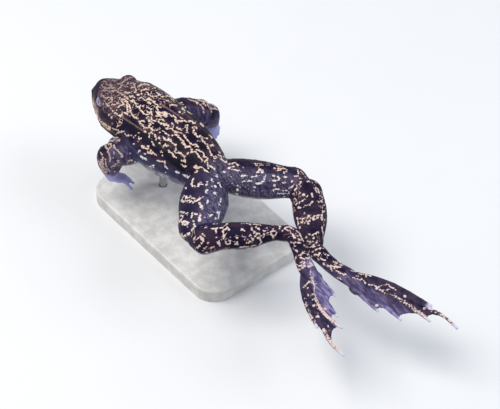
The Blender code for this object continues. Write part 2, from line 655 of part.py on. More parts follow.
def split_body(body):
    """Part the body at the joints and name each piece by the named point nearest to it."""
    cutters = [plate("joint", centre, normal, GAP, half_length, half_height)
               for centre, normal, half_length, half_height in JOINT_CUTS]
    for centre, direction in END_CUTS.values():
        cutters.append(plate("end", centre, direction, END_BLOCK, 7.0, 7.0, lead=END_BLOCK / 2.0))
    for x, y in (ROD_FRONT, ROD_REAR):
        middle = rod_top(x, y) + GAP - HOLE_LENGTH / 2.0
        cutters.append(rod("hole", (x, y, middle), (0, 0, 1), ROD_RADIUS + GAP, HOLE_LENGTH))
    cut(body, cutters)
    middles = to_stand(list(NODE_MIDDLES.values()))
    places = np.empty(len(body.data.vertices) * 3)
    body.data.vertices.foreach_get("co", places)
    places = places.reshape(-1, 3)
    best = {}
    for group in islands(body.data):
        centre = (places[group].min(0) + places[group].max(0)) / 2.0
        name = list(NODE_MIDDLES)[int(np.argmin(np.linalg.norm(middles - centre, axis=1)))]
        if len(group) > len(best.get(name, [])):
            best[name] = group
    body.name = "body"
    pieces = {name: keep_island(body, name, group) for name, group in best.items()}
    discard([body])
    return pieces


def rod_top(x, y):
    """Level of a rod's upper end, inside the belly above the given place."""
    keys = np.array(TRUNK_KEYS)
    return smooth_curve(keys[:, 0], keys[:, 4], np.array([-y]))[0] + ROD_SOCKET


def build_hand(name, spec, limb_end):
    """Palm and four tapered fingers, joined, with a flat face at the wrist."""
    palm = np.array(spec["palm"])
    centre, direction = limb_end
    wide = (WRIST_HALF_WIDTH, WRIST_HALF_WIDTH, PALM_HALF_WIDTH, PALM_HALF_WIDTH * 0.8)
    high = (WRIST_HALF_HEIGHT, WRIST_HALF_HEIGHT * 0.9, PALM_HALF_HEIGHT, PALM_HALF_HEIGHT * 0.7)
    back = palm[0] - (palm[1] - palm[0]) * 0.8
    hand = new_object(name, *closed_rings(tube_rings(np.vstack([back, palm]), wide, high, 10, 14)))
    spread = np.cross(palm[2] - palm[1], (0.0, 0.0, 1.0))
    spread /= np.linalg.norm(spread)
    order = 1.0 if np.dot(np.array(spec["tips"][-1]) - spec["tips"][0], spread) > 0 else -1.0
    fingers = []
    for number, tip in enumerate(spec["tips"]):
        root = palm[1] + spread * order * (number - 1.5) * FINGER_SPACING
        bend = (root + np.array(tip)) / 2.0 + (0.0, 0.0, FINGER_ARCH)
        rings = taper_rings((root, bend, tip), FINGER_RADIUS, FINGER_TIP_RADIUS, 8, 8)
        fingers.append(new_object("finger", *closed_rings(rings)))
    combine(hand, "UNION", fingers)
    cut(hand, [plate("wrist", centre, direction, END_BLOCK, 8.0, 8.0, lead=GAP - END_BLOCK / 2.0)])
    keep_largest(hand)
    return hand


def web_panel(inner, outer, reach):
    """Thin sheet between two toes, with a hollow free edge, the same triangles on both faces."""
    rows = 8
    columns = 4
    down = np.linspace(0.0, 1.0, rows)[:, None]
    across = np.linspace(0.0, 1.0, columns)[None, :]
    hollow = 1.0 - WEB_SAG * np.sin(math.pi * across)
    edges = []
    for toe, share in zip((inner, outer), reach):
        keys = path_length(toe)
        at = (down * hollow * share * keys[-1]).ravel()
        edges.append(smooth_curve(keys, np.array(toe), at).reshape(rows, columns, 3))
    middle = edges[0] * (1.0 - across[..., None]) + edges[1] * across[..., None]
    middle[..., 2] -= WEB_DROP * np.sin(math.pi * across) * down
    half = np.array([0.0, 0.0, WEB_THICKNESS / 2.0])
    top = (middle + half).reshape(-1, 3)
    bottom = (middle - half).reshape(-1, 3)
    total = rows * columns
    faces = []
    for row in range(rows - 1):
        for column in range(columns - 1):
            a = row * columns + column
            b, c, d = a + 1, a + columns + 1, a + columns
            faces += [(a, b, c), (a, c, d)]
            faces += [(total + a, total + c, total + b), (total + a, total + d, total + c)]
    last = (rows - 1) * columns
    rim = [(row * columns, (row + 1) * columns) for row in range(rows - 1)]
    rim += [(last + column, last + column + 1) for column in range(columns - 1)]
    rim += [((row + 2) * columns - 1, (row + 1) * columns - 1) for row in range(rows - 1)]
    rim += [(column + 1, column) for column in range(columns - 1)]
    for a, b in rim:
        faces += [(a, b, total + b), (a, total + b, total + a)]
    return new_object("web", np.vstack([top, bottom]), faces)


def build_foot(name, toes, tubercle, limb_end):
    """Five toes as ridges on a thin web, with a flat face where the foot joins the heel bones."""
    centre, direction = limb_end
    roots = np.array([toe[0] for toe in toes])
    limb = LIMBS["tarsus_left" if name.endswith("left") else "tarsus_right"]
    end = np.array(limb[0][-1])
    start = np.array(limb[0][-3])
    middle = np.array(limb[0][-2])
    ahead = end + (roots.mean(0) - end) * 0.5 + (end - middle) * 1.4
    ahead[2] = roots[:, 2].mean() - 0.1
    instep = tube_rings((start, middle, end, ahead), (*limb[1][-3:], INSTEP_END[0]),
                        (*limb[2][-3:], INSTEP_END[1]), 10, 16)
    foot = new_object(name, *closed_rings(instep))
    pieces = []
    for toe in toes:
        rings = max(7, int(path_length(toe)[-1] / 3.2))
        pieces.append(new_object("toe", *closed_rings(
            taper_rings(toe, TOE_ROOT_RADIUS, TOE_TIP_RADIUS, rings, 8))))
    for inner, outer, reach in zip(toes[:-1], toes[1:], WEB_REACH):
        pieces.append(web_panel(inner, outer, reach))
    pieces.append(ball("tubercle", tubercle, TUBERCLE_SIZE, 10, 8))
    combine(foot, "UNION", pieces)
    cut(foot, [plate("heel", centre, direction, END_BLOCK, 8.0, 8.0, lead=GAP - END_BLOCK / 2.0)])
    keep_largest(foot)
    return foot


def build_stand():
    """Base plate with rounded corners and two rods up into the belly."""
    work = bmesh.new()
    bmesh.ops.create_cube(work, size=1.0)
    size = Matrix.Diagonal((BASE_WIDTH * MM, BASE_LENGTH * MM, BASE_HEIGHT * MM, 1.0))
    lift = Matrix.Translation((0.0, 0.0, BASE_HEIGHT * MM / 2))
    bmesh.ops.transform(work, matrix=lift @ size, verts=work.verts)
    upright = [e for e in work.edges if abs(e.verts[0].co.z - e.verts[1].co.z) > 1e-4]
    bmesh.ops.bevel(work, geom=upright, offset=BASE_CORNER * MM, segments=7, profile=0.5, affect="EDGES")
    rim = [e for e in work.edges if min(v.co.z for v in e.verts) > (BASE_HEIGHT - 0.01) * MM
           and len(e.link_faces) == 2 and any(abs(f.normal.z) < 0.5 for f in e.link_faces)]
    bmesh.ops.bevel(work, geom=rim, offset=BASE_CHAMFER * MM, segments=2, profile=0.5, affect="EDGES")
    mesh = bpy.data.meshes.new("stand_base")
    work.to_mesh(mesh)
    work.free()
    base = bpy.data.objects.new("stand_base", mesh)
    bpy.context.scene.collection.objects.link(base)
    rods = []
    seats = []
    for name, (x, y) in (("stand_rod_front", ROD_FRONT), ("stand_rod_rear", ROD_REAR)):
        foot_level = BASE_HEIGHT - ROD_SEAT - BODY_LIFT
        top = rod_top(x, y)
        rods.append(rod(name, (x, y, (top + foot_level) / 2), (0, 0, 1), ROD_RADIUS, top - foot_level, 24))
        middle = foot_level - GAP + HOLE_LENGTH / 2.0
        seats.append(rod("seat", (x, y, middle), (0, 0, 1), ROD_RADIUS + GAP, HOLE_LENGTH, 24))
    cut(base, seats)
    return [base] + rods


def finish(target, colour, roughness, metallic=0.0):
    """Give a node its material and smooth shading."""
    surface = bpy.data.materials.new(target.name + "_finish")
    surface.use_nodes = True
    shader = surface.node_tree.nodes["Principled BSDF"]
    shader.inputs["Base Color"].default_value = (*SKIN_COLOURS[colour], 1.0)
    shader.inputs["Roughness"].default_value = roughness
    shader.inputs["Metallic"].default_value = metallic
    target.data.materials.clear()
    target.data.materials.append(surface)
    target.data.shade_smooth()
    target.data.set_sharp_from_angle(angle=math.radians(38.0))


def main():
    """Build every node of the frog and its stand."""
    for old in list(bpy.data.objects):
        bpy.data.objects.remove(old)
    body, head = build_flesh()
    carve_head(head)
    finish(head, "back", 0.35)
    for name, piece in split_body(body).items():
        finish(piece, "back" if name == "torso" else "limb", 0.35)
    for side_name, side in (("left", 1), ("right", -1)):
        eye_middle = head_point(EYE_ALONG, side * EYE_SIDE, EYE_LEVEL)
        eye = ball("eye_" + side_name, eye_middle, (EYE_RADIUS,) * 3, 20, 12)
        finish(eye, "eye", 0.08)
        hand_name = "hand_" + side_name
        finish(build_hand(hand_name, HANDS[side_name], END_CUTS[hand_name]), "web", 0.4)
        foot_name = "foot_" + side_name
        finish(build_foot(foot_name, TOES[side_name], TUBERCLES[side_name], END_CUTS[foot_name]), "web", 0.4)
    base, *rods = build_stand()
    finish(base, "base", 0.5)
    for upright in rods:
        finish(upright, "rod", 0.3, 0.9)


main()
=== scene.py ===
"""Common frog (Rana temporaria) in mid-stroke, life size on a small display stand: the dressed model.

Sizes are in millimetres in the frog's own frame: x to its left, y backwards from the vent, z up from
its mid-side line. to_stand() moves that frame over the stand, where one unit is a metre.
"""
import math

import bmesh
import bpy
import numpy as np
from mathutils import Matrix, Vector


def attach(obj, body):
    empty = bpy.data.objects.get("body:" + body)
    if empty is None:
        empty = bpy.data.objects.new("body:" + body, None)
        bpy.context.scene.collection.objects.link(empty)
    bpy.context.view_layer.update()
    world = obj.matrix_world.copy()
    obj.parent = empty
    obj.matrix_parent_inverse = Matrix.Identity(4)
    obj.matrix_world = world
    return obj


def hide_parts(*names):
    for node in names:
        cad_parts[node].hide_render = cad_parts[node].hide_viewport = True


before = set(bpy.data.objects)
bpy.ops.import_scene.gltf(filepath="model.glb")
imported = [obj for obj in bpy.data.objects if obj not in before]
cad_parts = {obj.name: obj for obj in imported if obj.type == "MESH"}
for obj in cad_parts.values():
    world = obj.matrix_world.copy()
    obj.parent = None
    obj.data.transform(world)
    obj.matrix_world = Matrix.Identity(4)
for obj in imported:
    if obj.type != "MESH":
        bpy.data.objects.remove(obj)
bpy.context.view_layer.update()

MM = 0.001
BODY_BACK = 16.0            # vent behind the middle of the stand
BODY_LIFT = 36.0            # mid-side level above the floor

CAMERA_TURN = math.radians(141.0)
CAMERA_RISE = math.radians(46.0)
CAMERA_BACK = (math.sin(CAMERA_TURN) * math.cos(CAMERA_RISE), -math.cos(CAMERA_TURN) * math.cos(CAMERA_RISE),
               math.sin(CAMERA_RISE))
CAMERA_AIM = (-2.193, 16.728, 0.0)
CAMERA_DISTANCE = 1200.0
VIEW_WIDTH = 202.5          # of the picture, at the aim
PICTURE_STEP = VIEW_WIDTH / 500.0
PICTURE_MIDDLE = (250.0, 204.5)

SKIN_VOXEL = 0.36           # grid on which limbs, toes and webs are blended into the body
SKIN_TRIANGLES = 184000
JOINT_EASING = 14           # smoothing passes where a limb leaves the body

EYE_RADIUS = 3.3
EYE_SIDE = 6.9              # from the middle plane of the head
EYE_ALONG = 66.0            # in front of the vent
EYE_LEVEL = 3.9
EYE_GAZE = (0.86, -0.42, 0.26)
LID_THICKNESS = 0.5
LID_SPREAD = 60.0           # half angle of the opening between the lids, along the slit
LID_RISE = 40.0             # the same, upwards
LID_DROP = 52.0             # the same, downwards
MOUTH_LEVEL_SNOUT = 0.2
MOUTH_LEVEL_CORNER = -1.6
MOUTH_CORNER = 55.5         # in front of the vent
NOSTRIL_ALONG = 74.2
NOSTRIL_SIDE = 2.3
NOSTRIL_LEVEL = 4.6
TYMPANUM_ALONG = 58.6
TYMPANUM_LEVEL = 1.6
TYMPANUM_RADIUS = 2.2
TYMPANUM_DEPTH = 13.6       # from the middle plane of the head
FOLD_RADIUS = 1.0
WEB_THICKNESS = 0.6

# Trunk and head, one row per cross-section from the vent to the snout: distance in front of the
# vent, middle line to the left, half width, top, bottom, squareness of the upper and lower half.
TRUNK_KEYS = (
    (-4.5, -1.2, 0.3, 1.8, 1.0, 2.0, 2.0),
    (-3.6, -1.2, 1.6, 3.0, -0.5, 2.0, 2.0),
    (-1.5, -1.2, 3.6, 4.8, -3.0, 2.0, 2.0),
    (2.0, -1.1, 6.0, 6.8, -5.5, 2.2, 2.0),
    (7.0, -0.9, 8.6, 8.3, -7.5, 2.4, 2.1),
    (13.0, -0.7, 11.0, 9.3, -9.0, 2.5, 2.2),
    (20.0, -0.2, 13.3, 10.0, -10.2, 2.5, 2.2),
    (27.0, 0.3, 15.0, 10.7, -11.0, 2.5, 2.2),
    (33.0, 0.6, 15.6, 10.6, -11.3, 2.5, 2.2),
    (40.0, 0.65, 15.2, 10.4, -10.8, 2.5, 2.2),
    (46.0, 0.1, 14.75, 10.3, -9.8, 2.4, 2.2),
    (51.0, 0.2, 14.7, 10.1, -9.0, 2.4, 2.2),
    (55.0, 0.9, 14.9, 9.7, -8.8, 2.35, 2.3),
    (60.0, 2.0, 14.1, 9.1, -8.2, 2.45, 2.3),
    (64.5, 2.45, 12.4, 8.2, -7.5, 2.5, 2.3),
    (68.5, 2.9, 10.3, 7.1, -6.7, 2.3, 2.3),
    (72.0, 3.2, 8.0, 6.0, -5.8, 2.1, 2.3),
    (75.0, 3.6, 5.6, 4.7, -4.7, 2.1, 2.2),
    (76.8, 3.9, 3.1, 3.4, -3.3, 2.1, 2.1),
    (77.4, 4.0, 0.5, 1.2, -1.4, 2.0, 2.0),
)
SIDE_LEVEL = -1.0           # level of the widest line of the trunk

# Limbs: points down the middle of each, then half width and half height at each point.
LIMBS = {
    "thigh_left": (
        ((1.0, -6.5, 0.2), (5.5, -2.0, 0.5), (12.2, 4.7, 0.5), (19.0, 10.8, 0.4), (26.4, 16.5, -0.3),
         (28.7, 18.4, -0.4)),
        (6.0, 8.6, 10.0, 8.7, 5.3, 1.5), (5.0, 6.6, 7.0, 6.2, 4.7, 1.5)),
    "thigh_right": (
        ((-3.5, -6.0, 0.0), (-7.1, 0.0, 0.2), (-13.5, 8.0, 0.2), (-20.6, 15.5, 0.2),
         (-26.7, 21.0, 0.0), (-28.5, 22.9, 0.0)),
        (6.0, 8.2, 8.9, 7.4, 4.8, 1.5), (5.0, 6.4, 6.7, 5.9, 4.5, 1.5)),
    "shank_left": (
        ((29.8, 16.9, -0.3), (27.6, 18.0, -0.2), (18.3, 23.5, 0.2), (9.6, 30.2, 0.6), (0.6, 35.9, 0.7),
         (-4.9, 40.8, 0.8), (-6.7, 42.2, 0.8)),
        (1.5, 4.8, 5.8, 5.6, 3.3, 2.9, 1.5), (1.5, 4.5, 5.1, 4.9, 3.1, 2.7, 1.5)),
    "shank_right": (
        ((-26.9, 20.0, 0.0), (-26.1, 21.6, -0.2), (-22.7, 28.9, -1.8), (-18.3, 35.9, -3.6),
         (-13.1, 43.2, -5.2), (-10.2, 47.6, -6.0), (-9.2, 49.0, -6.0)),
        (1.5, 4.4, 6.7, 6.7, 4.7, 3.2, 1.5), (1.5, 4.4, 5.2, 4.9, 3.6, 2.9, 1.5)),
    "tarsus_left": (
        ((-6.0, 39.6, 0.8), (-4.6, 42.6, 0.4), (-2.6, 47.5, -1.8), (-1.4, 51.0, -3.4),
         (-0.6, 54.0, -4.7), (-0.1, 57.0, -5.4)),
        (1.5, 3.1, 3.0, 3.2, 3.5, 3.4), (1.5, 2.8, 2.4, 2.1, 1.9, 1.7)),
    "tarsus_right": (
        ((-10.6, 45.4, -6.0), (-10.3, 48.6, -6.0), (-10.0, 54.8, -6.3), (-10.4, 60.8, -6.7),
         (-11.5, 66.2, -7.0), (-12.2, 69.6, -7.1)),
        (1.5, 3.3, 3.4, 3.6, 4.0, 4.0), (1.5, 2.8, 2.4, 2.1, 1.9, 1.7)),
    "upper_arm_left": (
        ((6.5, -39.8, -2.5), (14.2, -40.9, -3.0), (17.8, -43.1, -3.6), (20.7, -45.8, -3.8),
         (21.8, -46.6, -4.2)),
        (4.0, 6.2, 6.1, 5.1, 1.8), (4.0, 5.8, 5.8, 5.1, 1.8)),
    "forearm_left": (
        ((20.5, -45.5, -1.3), (20.8, -45.7, -3.8), (21.5, -46.2, -9.4), (21.6, -46.3, -13.8),
         (21.4, -46.2, -17.5), (21.0, -45.8, -19.5)),
        (2.0, 4.9, 5.6, 4.2, 2.8, 2.6), (2.0, 4.8, 5.4, 3.8, 2.4, 2.0)),
    "upper_arm_right": (
        ((-7.0, -47.0, -1.8), (-14.2, -46.0, -1.6), (-19.8, -43.2, -2.8), (-24.6, -40.2, -5.2),
         (-26.0, -39.6, -5.8)),
        (4.0, 5.1, 5.0, 4.2, 1.8), (4.0, 5.1, 5.0, 4.1, 1.8)),
    "forearm_right": (
        ((-24.4, -39.9, -2.9), (-25.0, -40.2, -5.2), (-26.8, -41.1, -9.4), (-28.4, -41.8, -13.2),
         (-29.0, -41.9, -16.5), (-29.0, -41.6, -18.5)),
        (2.0, 4.6, 4.7, 3.7, 2.7, 2.6), (2.0, 4.5, 4.6, 3.4, 2.3, 2.0)),
}

# Hands: palm from the wrist to the knuckles, then the tip of each finger, thumb side first.
HANDS = {
    "left": {
        "palm": ((21.3, -46.1, -16.6), (19.3, -44.6, -18.8), (16.0, -43.2, -20.4)),
        "tips": ((13.9, -42.6, -22.8), (13.3, -41.0, -24.0), (15.6, -39.3, -24.8), (15.4, -42.7, -24.3)),
    },
    "right": {
        "palm": ((-29.0, -41.9, -15.6), (-28.7, -40.6, -17.4), (-28.6, -40.2, -19.4)),
        "tips": ((-27.6, -41.6, -22.8), (-28.9, -41.3, -24.6), (-30.7, -41.5, -25.0), (-31.8, -41.4, -23.5)),
    },
}
PALM_HALF_WIDTH = 3.1
PALM_HALF_HEIGHT = 1.5
FINGER_RADIUS = 0.85
FINGER_TIP_RADIUS = 0.62

# Feet: for each toe, from the innermost to the outermost, its root, bends and tip.
TOES = {
    "left": (
        ((-2.2, 55.4, -5.6), (-1.8, 63.0, -6.6), (-1.4, 71.9, -7.6)),
        ((-1.2, 56.0, -5.6), (2.5, 66.8, -6.5), (5.3, 81.1, -7.4)),
        ((0.0, 56.2, -5.5), (6.4, 67.0, -5.8), (9.2, 78.0, -6.0), (8.4, 87.7, -6.2)),
        ((1.0, 55.9, -5.3), (8.9, 69.2, -4.9), (14.6, 81.8, -4.5), (18.0, 92.6, -4.3), (18.2, 100.4, -4.2)),
        ((1.6, 55.2, -5.0), (8.9, 63.4, -4.0), (14.2, 73.4, -3.4), (17.8, 83.4, -3.0)),
    ),
    "right": (
        ((-9.6, 68.4, -7.2), (-9.7, 78.0, -8.1), (-10.1, 88.0, -9.0)),
        ((-10.6, 68.9, -7.1), (-12.6, 81.0, -8.0), (-14.0, 97.5, -8.8)),
        ((-12.0, 69.0, -7.0), (-16.0, 79.0, -7.2), (-20.1, 92.0, -7.2), (-21.3, 106.2, -7.0)),
        ((-13.2, 68.6, -6.8), (-18.9, 82.0, -6.1), (-23.9, 99.8, -5.5), (-26.2, 109.2, -5.3),
         (-25.9, 116.9, -5.2)),
        ((-14.2, 67.8, -6.6), (-19.6, 78.0, -5.4), (-23.4, 90.6, -4.8), (-25.6, 102.2, -4.4)),
    ),
}
TUBERCLES = {"left": (-2.9, 59.0, -6.6), "right": (-8.9, 73.6, -8.2)}
TOE_ROOT_RADIUS = 1.25
TOE_TIP_RADIUS = 0.62
WEB_SAG = 0.07
# How far the web comes down the inner and the outer toe of each pair
WEB_REACH = ((0.90, 0.74), (0.92, 0.86), (0.94, 0.84), (0.76, 0.92))

# Dark blotches of the back: across from the vent's line, distance in front of the vent, half width,
# half length and turn of the long axis away from the spine, in degrees.
BLOTCHES = (
    (0.3, 47.9, 1.3, 3.9, -62.0), (6.7, 47.1, 1.5, 1.7, 0.0), (7.4, 39.3, 1.1, 1.2, 0.0),
    (5.0, 35.0, 1.1, 2.7, -35.0), (-0.8, 34.2, 1.2, 1.2, 0.0), (-4.7, 28.3, 1.1, 3.0, -20.0),
    (2.4, 29.6, 0.9, 1.5, -40.0), (4.6, 21.0, 1.9, 4.0, 6.0), (-1.9, 20.4, 1.8, 2.5, -10.0),
    (-2.4, 14.0, 1.7, 2.4, -8.0), (5.2, 11.4, 2.1, 2.7, -12.0), (9.6, 7.4, 1.5, 1.9, 20.0),
    (7.0, 2.9, 1.2, 1.7, -24.0), (-7.4, 19.3, 1.5, 2.8, 6.0), (-3.6, 8.6, 1.0, 1.9, 0.0),
    (-0.2, 10.4, 0.7, 0.8, 0.0), (9.0, 24.4, 1.1, 1.4, 0.0), (3.0, 4.2, 1.5, 1.0, 0.0),
    (4.2, 42.0, 1.1, 1.6, -30.0), (-5.6, 40.4, 1.2, 2.0, 0.0), (-6.4, 48.6, 1.0, 1.8, 0.0),
)

